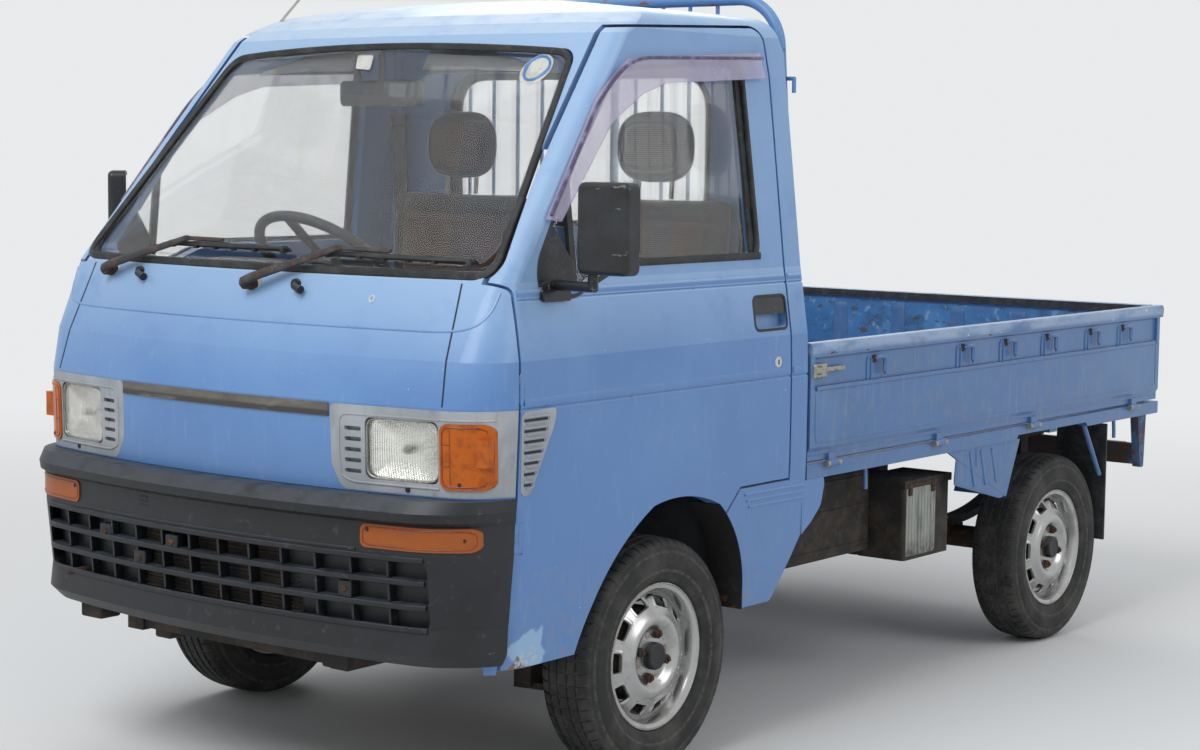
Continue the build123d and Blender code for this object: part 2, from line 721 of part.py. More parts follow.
def rear_window():
    """The glass in the cab's back wall."""
    outline = rectangle(-REAR_WINDOW_WIDTH / 2 + SEAT_GAP, REAR_WINDOW_WIDTH / 2 - SEAT_GAP,
                        REAR_WINDOW_SILL + SEAT_GAP, REAR_WINDOW_SILL + REAR_WINDOW_HEIGHT - SEAT_GAP,
                        REAR_WINDOW_CORNER)
    return front_prism(outline, CAB_REAR - 22, CAB_REAR - 22 + GLASS)


def lamp_outline(spread):
    """Front-view outline of the headlamp, grown by the spread."""
    face = rectangle(LAMP_INNER - spread, LAMP_OUTER + spread, LAMP_BOTTOM - spread, LAMP_TOP + spread, 14)
    return front_prism(face, -900, -TURN_END)


def turn_outline(spread):
    """Front-view outline of the corner turn lamp, grown by the spread."""
    face = rectangle(TURN_INNER - spread, TURN_OUTER + spread, TURN_BOTTOM - spread, TURN_TOP + spread, 18)
    return front_prism(face, -900, -TURN_END)


def lamp_bezel():
    """The left bezel with its lamp openings and louvre."""
    bezel = cab_skin(0, BEZEL_DEPTH) & bezel_prism(SEAT_GAP)
    bezel = bezel - lamp_outline(0) - turn_outline(0)
    core = cab_solid(LOUVRE_DEPTH)
    for i in range(LOUVRE_COUNT):
        z = LOUVRE_BOTTOM + i * LOUVRE_PITCH
        slot = rectangle(LOUVRE_INNER, LAMP_INNER - 10, z, z + LOUVRE_SLOT, 3)
        bezel = bezel - (front_prism(slot, -900, -TURN_END) - core)
    return bezel


def front_garnish():
    """The dark strip across the nose between the bezels."""
    half = BEZEL_INNER_TOP - 2
    strip = rectangle(-half, half, BEZEL_TOP - GARNISH_HEIGHT, BEZEL_TOP)
    return cab_skin(-3, 10) & front_prism(strip, -900, -500)


def bumper_solid(inset):
    """The closed outer form of the front bumper, moved inwards by the inset."""
    return loft([plan_section(row, inset, 0.0) for row in BUMPER_SECTIONS], ruled=True)


def shut_line_rear(shift):
    """All that lies behind the door's front edge, shifted back by the shift."""
    low = DOOR_OUTLINE[0]
    high = DOOR_OUTLINE[1]
    slope = (high[0] - low[0]) / (high[1] - low[1])
    foot = low[0] + shift - slope * 200
    top = high[0] + shift + slope * 200
    points = [(foot, low[1] - 200, 0.0), (top, high[1] + 200, 0.0), (900.0, high[1] + 200, 0.0),
              (900.0, low[1] - 200, 0.0)]
    return side_prism(rounded(points), -800, 800)


def bumper_clearance():
    """The zone that the bumper's skin takes from the cab's lower nose."""
    zone = bumper_solid(-20) - bumper_solid(BUMPER_WALL + 2)
    return zone - shut_line_rear(-SHUT_GAP / 2)


def grille_rows():
    """Heights of the grille's cross bars."""
    pitch = (GRILLE_TOP - GRILLE_BOTTOM) / GRILLE_ROWS
    return [GRILLE_BOTTOM + pitch * i for i in range(1, GRILLE_ROWS)]


def grille_lattice():
    """Cross bars, ribs and the blind cells of the grille as a front-view lattice."""
    pitch = 2 * GRILLE_HALF / GRILLE_COLUMNS
    lattice = []
    for z in grille_rows():
        lattice.append(box(-GRILLE_HALF, GRILLE_HALF, -900, -500, z - GRILLE_BAR / 2, z + GRILLE_BAR / 2))
    for i in range(1, GRILLE_COLUMNS):
        x = -GRILLE_HALF + i * pitch
        lattice.append(box(x - GRILLE_RIB / 2, x + GRILLE_RIB / 2, -900, -500, GRILLE_BOTTOM, GRILLE_TOP))
    return lattice


def front_bumper():
    """The moulded bumper with its grille and lamp recesses."""
    outer = bumper_solid(0)
    cavity = bumper_solid(BUMPER_WALL) & box(-800, 800, -900, 900, 200, BUMPER_SECTIONS[-1]["z"] - 8)
    bumper = outer - cavity - shut_line_rear(-SHUT_GAP / 2) - cab_solid(-SEAT_GAP)
    opening = front_prism(rectangle(-GRILLE_HALF, GRILLE_HALF, GRILLE_BOTTOM, GRILLE_TOP, 26), -900, -400)
    bumper = bumper - opening
    band = (bumper_solid(4) - bumper_solid(4 + GRILLE_DEPTH)) & opening
    lattice = grille_lattice()
    bars = lattice[0]
    for piece in lattice[1:]:
        bars = bars + piece
    grille = band & bars
    pitch = 2 * GRILLE_HALF / GRILLE_COLUMNS
    open_half = GRILLE_HALF - GRILLE_BLIND * pitch
    back = (bumper_solid(GRILLE_DEPTH) - bumper_solid(GRILLE_DEPTH + 4)) & opening
    back = back - box(-open_half, open_half, -900, -300, GRILLE_BOTTOM - 5, GRILLE_TOP + 5)
    bumper = bumper + grille + back
    lamp = front_prism(bumper_lamp_face(0), -900, -400)
    return bumper - lamp - right_side(lamp)


def bumper_lamp_face(spread):
    """Front-view outline of the left bumper lamp."""
    return rectangle(BUMPER_LAMP_INNER - spread, BUMPER_LAMP_OUTER + spread, BUMPER_LAMP_BOTTOM - spread,
                     BUMPER_LAMP_TOP + spread, 14)


def turn_lamps():
    """Amber lenses: beside the headlamps and in the bumper."""
    corner = cab_skin(-TURN_PROUD, BEZEL_DEPTH - 6) & turn_outline(-SEAT_GAP)
    corner = corner + fillet(box(*MARKER).edges().filter_by(Axis.Z), 4)
    low = (bumper_solid(-3) - bumper_solid(14)) & front_prism(bumper_lamp_face(-SEAT_GAP), -900, -400)
    return both_sides(Compound(children=[corner, low]))


def wipers():
    """Two spindles with their arms and blades."""
    parts = []
    for row in WIPERS:
        points = {}
        for name in ("pivot", "elbow", "tip", "end_a", "end_b"):
            x, z, lift = row[name]
            points[name] = (x, aft(nose_surface(x, z) - lift), z)
        x, y, z = points["pivot"]
        boss = rod((x, aft(nose_surface(x, z)) - SEAT_GAP, z), (x, y - 8, z + 14), 11)
        arm = rod((x, y, z + 11), points["elbow"], 6)
        reach = rod(points["elbow"], points["tip"], 4)
        joint = Pos(*points["elbow"]) * Sphere(6)
        blade = rod(points["end_a"], points["end_b"], 6)
        tip = rod(points["tip"], blade_point(points, points["tip"][0]), 4)
        parts.append(boss - cab_solid(-SEAT_GAP) + arm + joint + reach + tip + blade)
    return Compound(children=parts)


def blade_point(points, x):
    """The place on a wiper blade's line at a given x."""
    start = Vector(*points["end_a"])
    end = Vector(*points["end_b"])
    place = start + (end - start) * ((x - start.X) / (end.X - start.X))
    return (place.X, place.Y, place.Z)


def nose_surface(x, z):
    """Place of the nose's outer surface at a point of the front view."""
    for low, high in zip(CAB_SECTIONS, CAB_SECTIONS[1:]):
        if low["z"] <= z <= high["z"]:
            share = (z - low["z"]) / (high["z"] - low["z"])
            nose = low["nose"] + share * (high["nose"] - low["nose"])
    return -nose + NOSE_RADIUS - math.sqrt(NOSE_RADIUS ** 2 - x ** 2)


def cabin_width(depth):
    """The zone between two surfaces that lie so deep under the cab's sides."""
    half = [(row["half_width"] - depth, row["z"], 0.0) for row in CAB_SECTIONS]
    other = [(-u, v, 0.0) for u, v, _ in reversed(half)]
    return front_prism(rounded(half + other), -900, 900)


def cab_floor(room):
    """Foot floor, toe wall, seat base and wheel housings."""
    foot_top = RAIL_LOW + RAIL_HEIGHT + FLOOR_SHEET
    profile = [
        (-690.0, RAIL_LOW + RAIL_HEIGHT, 0.0),
        (TOE_WALL + FLOOR_SHEET, RAIL_LOW + RAIL_HEIGHT, 0.0),
        (TOE_WALL + FLOOR_SHEET, SEAT_BASE - FLOOR_SHEET, 0.0),
        (520.0, SEAT_BASE - FLOOR_SHEET, 0.0),
        (520.0, SEAT_BASE, 0.0),
        (TOE_WALL, SEAT_BASE, 20.0),
        (TOE_WALL, foot_top, 20.0),
        (-690.0, foot_top, 0.0),
    ]
    floor = side_prism(rounded(profile), -700, 700)
    inner = box(WELL_INNER - 6, WELL_INNER, TOE_WALL, WELL_REAR, foot_top, SEAT_BASE - FLOOR_SHEET)
    rear = box(WELL_INNER - 6, 700, WELL_REAR - 6, WELL_REAR, 330, SEAT_BASE - FLOOR_SHEET)
    front = box(WELL_INNER, 700, TOE_WALL, TOE_WALL + 6, DOOR_HEM + 4, foot_top)
    for wall in (inner, rear, front):
        floor = floor + wall + right_side(wall)
    return floor & cabin_width(DOOR_ROOM) & room


def dashboard(room):
    """The instrument panel with the steering column through it."""
    face = side_prism(rounded(DASH_OUTLINE), -700, 700)
    panel = face & cabin_width(DOOR_ROOM)
    tilt = math.radians(STEER_TILT)
    top = (STEER_X, aft(STEER_Y - 14 * math.sin(tilt)), STEER_Z - 14 * math.cos(tilt))
    foot_z = RAIL_LOW + RAIL_HEIGHT + FLOOR_SHEET
    drop = STEER_Z - foot_z
    foot = (STEER_X, aft(STEER_Y - drop * math.tan(tilt)), foot_z)
    column = rod(top, foot, 24)
    column = column - box(-700, 0, -900, 0, 200, foot_z)
    spindle = rod(top, (STEER_X, aft(STEER_Y), STEER_Z), SPINDLE_STEER)
    return (panel + column + spindle) & room


def steering_wheel():
    """Rim, hub and two spokes, tilted to the driver."""
    rim = Torus(STEER_RADIUS, STEER_GRIP)
    hub = Pos(0, 0, 2) * Cylinder(42, 26) - Pos(0, 0, -20) * Cylinder(SPINDLE_STEER + PIN_CLEARANCE, 44)
    wheel = rim + hub
    for angle in (20, 160, 270):
        spoke = Rot(0, 0, angle) * (Pos(STEER_RADIUS / 2 + 15, 0, 0) * Box(STEER_RADIUS - 30, 26, 10))
        wheel = wheel + spoke
    return Pos(STEER_X, aft(STEER_Y), STEER_Z) * Rot(-STEER_TILT, 0, 0) * wheel


def seats():
    """Two seats: cushion and back, one pair for each side."""
    cushion = fillet(Box(SEAT_WIDTH, 440, SEAT_THICK).edges().filter_by(Axis.X), 25)
    cushion = Pos(SEAT_X, aft(150), SEAT_BASE + SEAT_GAP + SEAT_THICK / 2) * cushion
    back = side_prism(rounded(SEAT_BACK_OUTLINE), SEAT_X - SEAT_WIDTH / 2 + 10, SEAT_X + SEAT_WIDTH / 2 - 10)
    return both_sides(Compound(children=[cushion, back]))


def headrests():
    """Two head restraints on their posts."""
    pad = fillet(Box(HEADREST_WIDTH, 84, HEADREST_TOP - HEADREST_LOW).edges().filter_by(Axis.Y), 45)
    rest = Pos(SEAT_X, aft(HEADREST_Y), (HEADREST_TOP + HEADREST_LOW) / 2) * pad
    top = SEAT_BACK_OUTLINE[2][1]
    for side in (-1, 1):
        foot = (SEAT_X + side * 50, aft(HEADREST_Y), top + SEAT_GAP)
        rest = rest + rod(foot, (SEAT_X + side * 50, aft(HEADREST_Y), HEADREST_LOW + 10), 6)
    return both_sides(rest)


def sun_visors(room):
    """Sun visors and the inner mirror, hung from the roof's front edge."""
    plate = side_prism(rounded(SUN_VISOR_OUTLINE), 110, 470)
    mirror_x = -124.0
    glass = Pos(mirror_x, aft(-62), 1513) * fillet(Box(250, 22, 60).edges().filter_by(Axis.Y), 14)
    stem = rod((mirror_x, aft(-62), 1513), (mirror_x, aft(-62), 1720), 8)
    pieces = [plate & room, right_side(plate) & room, glass + (stem & room)]
    return Compound(children=pieces)


def rail_outline():
    """Side view of a frame rail, low under the cab and high under the bed."""
    low, high = RAIL_LOW, RAIL_HIGH
    start, end = RAIL_KICK
    return rounded([
        (RAIL_FRONT, low, 0.0), (start, low, 70.0), (end, high, 70.0), (RAIL_REAR, high, 0.0),
        (RAIL_REAR, high + RAIL_HEIGHT, 0.0), (end, high + RAIL_HEIGHT, 70.0),
        (start, low + RAIL_HEIGHT, 70.0), (RAIL_FRONT, low + RAIL_HEIGHT, 0.0),
    ])


def frame_rails():
    """Two channel rails, open towards each other."""
    outline = rail_outline()
    rail = side_prism(outline, RAIL_INNER, RAIL_INNER + RAIL_WIDTH)
    hollow = offset(outline, -RAIL_SHEET, kind=Kind.INTERSECTION)
    rail = rail - side_prism(hollow, RAIL_INNER - 1, RAIL_INNER + RAIL_WIDTH - RAIL_SHEET)
    return both_sides(rail)


def crossmembers():
    """Cross beams that fit between the flanges of the rails."""
    parts = []
    reach = RAIL_INNER + RAIL_WIDTH - RAIL_SHEET - SEAT_GAP
    for y in CROSS_LOW + CROSS_HIGH:
        base = RAIL_LOW if y in CROSS_LOW else RAIL_HIGH
        parts.append(box(-reach, reach, y - CROSS_WIDTH / 2, y + CROSS_WIDTH / 2,
                         base + RAIL_SHEET + SEAT_GAP, base + RAIL_HEIGHT - RAIL_SHEET - SEAT_GAP))
    return Compound(children=parts)


def engine_block():
    """The engine and gearbox as one plain mass under the seats."""
    front = CROSS_LOW[1] + CROSS_WIDTH / 2 + SEAT_GAP
    rear = CROSS_LOW[2] - CROSS_WIDTH / 2 - SEAT_GAP
    return box(-215, 215, front, rear, RAIL_LOW - 20, SEAT_BASE - FLOOR_SHEET - 30)


def rear_axle():
    """Axle tube, differential, spindles and propeller shaft."""
    axle_y = WHEELBASE
    half = KNUCKLE_PLATE
    beam = rod((-half, aft(axle_y), WHEEL_CENTRE), (half, aft(axle_y), WHEEL_CENTRE), AXLE_TUBE)
    pumpkin = Pos(0, aft(axle_y), WHEEL_CENTRE) * Sphere(DIFF_RADIUS)
    nose = rod((0, aft(axle_y), WHEEL_CENTRE), (0, aft(axle_y - 190), WHEEL_CENTRE + 8), 46)
    front = CROSS_LOW[2] + CROSS_WIDTH / 2 + SEAT_GAP
    shaft = rod((0, aft(axle_y - 180), WHEEL_CENTRE + 8), (0, aft(front - 20), RAIL_LOW + 44), 28)
    axle = beam + pumpkin + nose + shaft - box(-60, 60, front - 60, front, 200, 500)
    for side in (-1, 1):
        plate = rod((side * half, aft(axle_y), WHEEL_CENTRE),
                    (side * (half + 4), aft(axle_y), WHEEL_CENTRE), DRUM_RADIUS + 3)
        spindle = rod((side * half, aft(axle_y), WHEEL_CENTRE),
                      (side * (TRACK_HALF + SPINDLE_END), aft(axle_y), WHEEL_CENTRE), SPINDLE)
        pad = box(side * RAIL_INNER, side * (RAIL_INNER + RAIL_WIDTH), axle_y - 40, axle_y + 40,
                  WHEEL_CENTRE, SPRING_LOW - SEAT_GAP)
        axle = axle + plate + spindle + pad
    return axle


def leaf_springs():
    """A curved leaf pack under each rail with its hangers."""
    mid = WHEELBASE
    low = SPRING_LOW
    end_z = SPRING_LOW + SPRING_RISE
    under = ThreePointArc((mid - SPRING_REACH, end_z), (mid, low), (mid + SPRING_REACH, end_z))
    over = ThreePointArc((mid + SPRING_REACH, end_z + SPRING_PACK), (mid, low + SPRING_PACK),
                         (mid - SPRING_REACH, end_z + SPRING_PACK))
    pack = make_face([
        under,
        Line((mid + SPRING_REACH, end_z), (mid + SPRING_REACH, end_z + SPRING_PACK)),
        over,
        Line((mid - SPRING_REACH, end_z + SPRING_PACK), (mid - SPRING_REACH, end_z)),
    ])
    spring = side_prism(pack, RAIL_INNER, RAIL_INNER + RAIL_WIDTH)
    for end in (-1, 1):
        place = mid + end * (SPRING_REACH - 14)
        hanger = box(RAIL_INNER + 2, RAIL_INNER + RAIL_WIDTH - 2, place - 22, place + 22,
                     end_z, RAIL_HIGH - SEAT_GAP)
        spring = spring + hanger
    return both_sides(spring)


def front_suspension():
    """Arms from the rails to the steering pins, with a damper up to the seat base."""
    outer = RAIL_INNER + RAIL_WIDTH
    arm_low = WHEEL_CENTRE - ARM_LEVEL
    arm_high = WHEEL_CENTRE + ARM_LEVEL
    pieces = None
    for level, sign in ((arm_low, 1), (arm_high, -1)):
        points = [(outer + SEAT_GAP, -60.0, 0.0), (KINGPIN_X, -14.0, 0.0), (KINGPIN_X, 14.0, 0.0),
                  (outer + SEAT_GAP, 60.0, 0.0)]
        if sign == 1:
            points[0] = (RAIL_INNER, -60.0, 0.0)
            points[3] = (RAIL_INNER, 60.0, 0.0)
        arm = Pos(0, AXLE_FRONT, level - ARM_SHEET / 2) * extrude(rounded(points), ARM_SHEET, dir=(0, 0, 1))
        boss = Pos(KINGPIN_X, AXLE_FRONT, level) * Cylinder(14, ARM_SHEET)
        pin_end = level + sign * (ARM_LEVEL - PIN_INNER)
        pin = rod((KINGPIN_X, AXLE_FRONT, level), (KINGPIN_X, AXLE_FRONT, pin_end), KINGPIN)
        side = arm + boss + pin
        pieces = side if pieces is None else pieces + side
    bracket = box(RAIL_INNER, outer, -60, 60, arm_low, RAIL_LOW - SEAT_GAP)
    damper_top = SEAT_BASE - FLOOR_SHEET - SEAT_GAP
    damper = rod((DAMPER_X, AXLE_FRONT, arm_low), (DAMPER_X, AXLE_FRONT, damper_top), 22)
    return both_sides(pieces + bracket + damper)


def knuckle():
    """The left steering knuckle: two eyes, upright, backing plate and spindle."""
    plate_x = KNUCKLE_PLATE
    eye_top = ARM_LEVEL - ARM_SHEET / 2 - 3
    part = box(KINGPIN_X, plate_x + 2, -20, 20, WHEEL_CENTRE - eye_top, WHEEL_CENTRE + eye_top)
    for sign in (-1, 1):
        middle = WHEEL_CENTRE + sign * (eye_top + PIN_INNER - 6) / 2
        length = eye_top - PIN_INNER + 6
        part = part + Pos(KINGPIN_X, AXLE_FRONT, middle) * Cylinder(KINGPIN + 10, length)
    reach = PIN_INNER - 8
    web = box(KINGPIN_X - 8, KINGPIN_X + 8, -18, 18, WHEEL_CENTRE - reach, WHEEL_CENTRE + reach)
    part = part + web
    part = part + rod((plate_x, AXLE_FRONT, WHEEL_CENTRE), (plate_x + 4, AXLE_FRONT, WHEEL_CENTRE),
                      DRUM_RADIUS + 3)
    part = part + rod((plate_x, AXLE_FRONT, WHEEL_CENTRE),
                      (TRACK_HALF + SPINDLE_END, AXLE_FRONT, WHEEL_CENTRE), SPINDLE)
    for sign in (-1, 1):
        middle = WHEEL_CENTRE + sign * (eye_top + PIN_INNER) / 2
        bore = Pos(KINGPIN_X, AXLE_FRONT, middle) * Cylinder(KINGPIN + PIN_CLEARANCE, eye_top - PIN_INNER + 4)
        part = part - bore
    return part


def turned(points):
    """A solid turned about the X axis from an outline of x and radius."""
    face = make_face(Polyline(*[(x, r) for x, r in points], close=True))
    return revolve(face, axis=Axis.X)


def wheel_rim():
    """Steel rim, slotted disc, brake drum and hub cap, about the X axis."""
    outer = [(-RIM_HALF, RIM_RADIUS), (-52, RIM_RADIUS), (-50, BEAD_RADIUS), (-30, 150), (-22, 137),
             (12, 137), (22, 150), (50, BEAD_RADIUS), (52, RIM_RADIUS), (RIM_HALF, RIM_RADIUS)]
    barrel = turned(outer + [(x, r - RIM_SHEET) for x, r in reversed(outer)])
    front = [(16, 139), (31, 132), (34, 112), (46, 96), (52, 84), (52, 74), (45, 62), (DISC_FACE, 54),
             (DISC_FACE, SPINDLE + PIN_CLEARANCE + RIM_SHEET)]
    disc = turned(front + [(x - RIM_SHEET, r) for x, r in reversed(front)])
    for i in range(SLOT_COUNT):
        hole = Rot(360 / SLOT_COUNT * (i + 0.5), 0, 0) * (Pos(32, 0, 122) * Box(40, 30, 17))
        disc = disc - hole
    hub_face = DISC_FACE - RIM_SHEET
    bore = SPINDLE + PIN_CLEARANCE
    drum = turned([(hub_face, bore), (hub_face, 56), (28, 58), (28, 100), (22, DRUM_RADIUS),
                   (-47, DRUM_RADIUS), (-47, 100), (18, 97), (18, 40), (-15, 36), (-15, bore)])
    cap = turned([(hub_face, bore), (SPINDLE_END + 3, bore), (SPINDLE_END + 3, 0), (62, 0), (62, 27),
                  (58, 31), (hub_face, 31)])
    return barrel + disc + drum + cap


def tyre():
    """Tyre ring with rounded shoulders, about the X axis."""
    half = TYRE_WIDTH / 2
    side = [
        Line((-49.5, BEAD_RADIUS + SEAT_GAP), (49.5, BEAD_RADIUS + SEAT_GAP)),
        Line((49.5, BEAD_RADIUS + SEAT_GAP), (51.2, RIM_RADIUS + 1.5)),
        Line((51.2, RIM_RADIUS + 1.5), (58, RIM_RADIUS + 2)),
        ThreePointArc((58, RIM_RADIUS + 2), (half, 212), (64, 252)),
        ThreePointArc((64, 252), (59, TYRE_RADIUS - 5), (48, TYRE_RADIUS - 2)),
        Line((48, TYRE_RADIUS - 2), (0, TYRE_RADIUS)),
    ]
    other = [mirror(edge, about=Plane.YZ) for edge in side[1:]]
    return revolve(make_face(side + other), axis=Axis.X)


def at_wheel(shape, side, place):
    """A wheel piece made about the X axis, set on its hub."""
    flipped = shape if side > 0 else mirror(shape, about=Plane.YZ)
    return Pos(side * TRACK_HALF, aft(place), WHEEL_CENTRE) * flipped


def bed_deck():
    """Bed floor with its cross beams, side sills and rear sill."""
    half = BED_HALF - SILL_WIDTH
    deck = box(-half, half, BED_FRONT, TAILGATE_FACE - 36, BED_FLOOR - BED_SHEET, BED_FLOOR)
    deck = deck - box(-half, half, BED_FRONT - 1, BED_FRONT + 46, BED_FLOOR - BOARD_SEAT, BED_FLOOR + 1)
    for y in BED_BEAMS:
        deck = deck + box(-half, half, y - 22, y + 22, RAIL_HIGH + RAIL_HEIGHT, BED_FLOOR - BED_SHEET)
    for side in (-1, 1):
        sill = box(side * half, side * BED_HALF, BED_FRONT, TAILGATE_FACE - 6, SILL_BOTTOM, SILL_TOP)
        cut = rounded([(ARCH_REAR[0], SILL_BOTTOM - 10, 0.0), (ARCH_REAR[0] + 14, SILL_BOTTOM + 12, 8.0),
                       (ARCH_REAR[1] - 14, SILL_BOTTOM + 12, 8.0), (ARCH_REAR[1], SILL_BOTTOM - 10, 0.0)])
        deck = deck + (sill - side_prism(cut, -800, 800))
    rear = box(-BED_HALF, BED_HALF, TAILGATE_FACE - 36, TAILGATE_FACE - 6, SILL_BOTTOM, SILL_TOP)
    return deck + rear


def gate_section():
    """Cross-section of a drop side: outward x and height."""
    face = GATE_FACE
    return rounded([
        (face - 6, GATE_BOTTOM, 0.0), (face - 6, 672.0, 0.0), (face, 682.0, 0.0), (face, 816.0, 3.0),
        (face - 8, 826.0, 0.0), (face - 8, 894.0, 0.0), (face + 1, 899.0, 3.0), (face + 1, GATE_TOP, 6.0),
        (face - GATE_THICK - 4, GATE_TOP, 6.0), (face - GATE_THICK - 4, 914.0, 3.0), (face - 20, 908.0, 0.0),
        (face - 20, 656.0, 0.0), (face - GATE_THICK, GATE_BOTTOM, 0.0),
    ])


def gate_panel(start, end, rail_end, hinges, hooks):
    """A drop side from start to end along Y, facing +X, with hooks and hinge knuckles."""
    section = Plane.XZ * gate_section()
    gate = extrude(Pos(0, aft(start), 0) * section, rail_end - start, dir=(0, 1, 0))
    gate = gate - box(600, 750, end, rail_end + 1, GATE_BOTTOM - 5, 898)
    for place in (start + 9, end - 9):
        gate = gate + box(GATE_FACE - 9, GATE_FACE, place - 9, place + 9, 815, 900)
    for y in hooks:
        stub = rod((GATE_FACE - 10, aft(y), HOOK_Z), (GATE_FACE + 5, aft(y), HOOK_Z), HOOK)
        drop = rod((GATE_FACE + 5, aft(y), HOOK_Z), (GATE_FACE + 5, aft(y), HOOK_Z - 34), HOOK)
        gate = gate + stub + drop + Pos(GATE_FACE + 5, aft(y), HOOK_Z) * Sphere(HOOK)
    for y in hinges:
        gate = gate + gate_knuckle(y)
    return gate


def gate_knuckle(y):
    """The gate's half of a hinge at one place."""
    barrel = rod((GATE_AXIS_X, aft(y - GATE_BARREL_LENGTH / 2), GATE_AXIS_Z),
                 (GATE_AXIS_X, aft(y + GATE_BARREL_LENGTH / 2), GATE_AXIS_Z), GATE_BARREL)
    leaf = rounded([(GATE_AXIS_X - 7, GATE_AXIS_Z + 1, 0.0), (GATE_AXIS_X, GATE_AXIS_Z, 0.0),
                    (GATE_AXIS_X, 664.0, 0.0), (GATE_FACE - 8, 664.0, 0.0), (GATE_FACE - 8, 652.0, 0.0)])
    face = Plane.XZ * leaf
    plate = extrude(Pos(0, aft(y - GATE_BARREL_LENGTH / 2), 0) * face, GATE_BARREL_LENGTH, dir=(0, 1, 0))
    bore = rod((GATE_AXIS_X, aft(y - GATE_BARREL_LENGTH), GATE_AXIS_Z),
               (GATE_AXIS_X, aft(y + GATE_BARREL_LENGTH), GATE_AXIS_Z), GATE_PIN + PIN_CLEARANCE)
    return barrel + plate - bore


def gate_hinge(y):
    """The bed's half of a hinge: a pin held by two lugs."""
    half = GATE_BARREL_LENGTH / 2 + 1 + GATE_LUG_LENGTH
    hinge = rod((GATE_AXIS_X, aft(y - half), GATE_AXIS_Z),
                (GATE_AXIS_X, aft(y + half), GATE_AXIS_Z), GATE_PIN)
    for sign in (-1, 1):
        near = y + sign * (half - GATE_LUG_LENGTH)
        far = y + sign * half
        lug = rod((GATE_AXIS_X, aft(min(near, far)), GATE_AXIS_Z),
                  (GATE_AXIS_X, aft(max(near, far)), GATE_AXIS_Z), GATE_BARREL)
        foot = box(BED_HALF, GATE_AXIS_X, min(near, far), max(near, far), GATE_AXIS_Z - 7, GATE_AXIS_Z + 2)
        hinge = hinge + lug + foot
    return hinge


def to_tail(shape):
    """A piece made for the left drop side, turned round to the tail."""
    shift = aft(TAILGATE_FACE) - GATE_FACE
    return Pos(0, shift, 0) * Rot(0, 0, 90) * Pos(0, -AXLE_FRONT, 0) * shape


def gate_hinges():
    """All hinge pins of the drop sides."""
    side = both_sides(Compound(children=[gate_hinge(y) for y in GATE_HINGES]))
    tail = [to_tail(gate_hinge(y)) for y in TAILGATE_HINGES]
    return Compound(children=list(side.solids()) + tail)


def bed_front_board():
    """The fixed board at the front of the bed with its corner posts."""
    half = BED_HALF - SILL_WIDTH
    foot = BED_FLOOR - BOARD_SEAT
    board = box(-half, half, BED_FRONT + 4, BED_FRONT + 20, foot, BOARD_TOP)
    board = board + box(-half, half, BED_FRONT + 2, BED_FRONT + 30, BOARD_TOP - 30, BOARD_TOP)
    for side in (-1, 1):
        post = box(side * (half - 30), side * half, BED_FRONT + 2, BED_FRONT + 44, foot, BOARD_TOP - 12)
        board = board + post
    return board


def guard_frame():
    """The hoop behind the cab with its window bars and rope hooks."""
    y = aft(BED_FRONT + 16)
    foot = BOARD_TOP + SEAT_GAP
    points = [(HOOP_FOOT, y, foot), (HOOP_SHOULDER, y, HOOP_TOP), (-HOOP_SHOULDER, y, HOOP_TOP),
              (-HOOP_FOOT, y, foot)]
    hoop = tube(points, HOOP_BEND, HOOP_TUBE)
    out, level, low, radius = HOOP_HOOK
    for side in (-1, 1):
        hoop = hoop + rod((side * HOOP_SHOULDER, y, level), (side * out, y, level), radius)
        hoop = hoop + rod((side * out, y, level), (side * out, y, low), radius)
        hoop = hoop + Pos(side * out, y, level) * Sphere(radius)
    for x in GUARD_POSTS:
        for side in (-1, 1):
            hoop = hoop + rod((side * x, y, foot), (side * x, y, HOOP_TOP), 11)
    for i in range(GUARD_BARS):
        x = GUARD_FIRST + i * GUARD_PITCH
        for side in (-1, 1):
            hoop = hoop + rod((side * x, y, foot), (side * x, y, HOOP_TOP), 5)
    return hoop - box(-800, 800, BED_FRONT - 50, BED_FRONT + 90, foot - 60, foot)


def rear_mudguards():
    """Panels ahead of the rear wheels and the struts behind them."""
    front, low, back = MUDGUARD
    panel = rounded([(front[0], front[1], 0.0), (low[0], low[1], 6.0), (back[0], back[1], 0.0)])
    guard = side_prism(panel, GUARD_X - 6, GUARD_X)
    lean = Vector(back[0] - low[0], back[1] - low[1]).normalized()
    across = Vector(lean.Y, -lean.X)
    sheet = rounded([
        (low[0], low[1], 0.0), (back[0], back[1], 0.0),
        (back[0] - across.X * 4, back[1], 0.0),
        (low[0] - across.X * 4, low[1] - across.Y * 4, 0.0),
    ])
    guard = guard + side_prism(sheet, TRACK_HALF - TYRE_WIDTH / 2 - 6, GUARD_X)
    strut = rod((GUARD_X - 10, aft(2036), SILL_BOTTOM + 12), (GUARD_X - 10, aft(2152), 452), 7)
    strut = strut - box(0, 800, 1900, 2300, SILL_BOTTOM - SEAT_GAP, 700)
    return both_sides(Compound(children=[guard, strut]))


def mud_flaps():
    """Rubber flaps behind the rear wheels."""
    flap = box(TRACK_HALF - TYRE_WIDTH / 2 - 6, GUARD_X, FLAP_Y - 3, FLAP_Y + 3, 256,
               RAIL_HIGH + RAIL_HEIGHT - SEAT_GAP)
    return both_sides(flap)


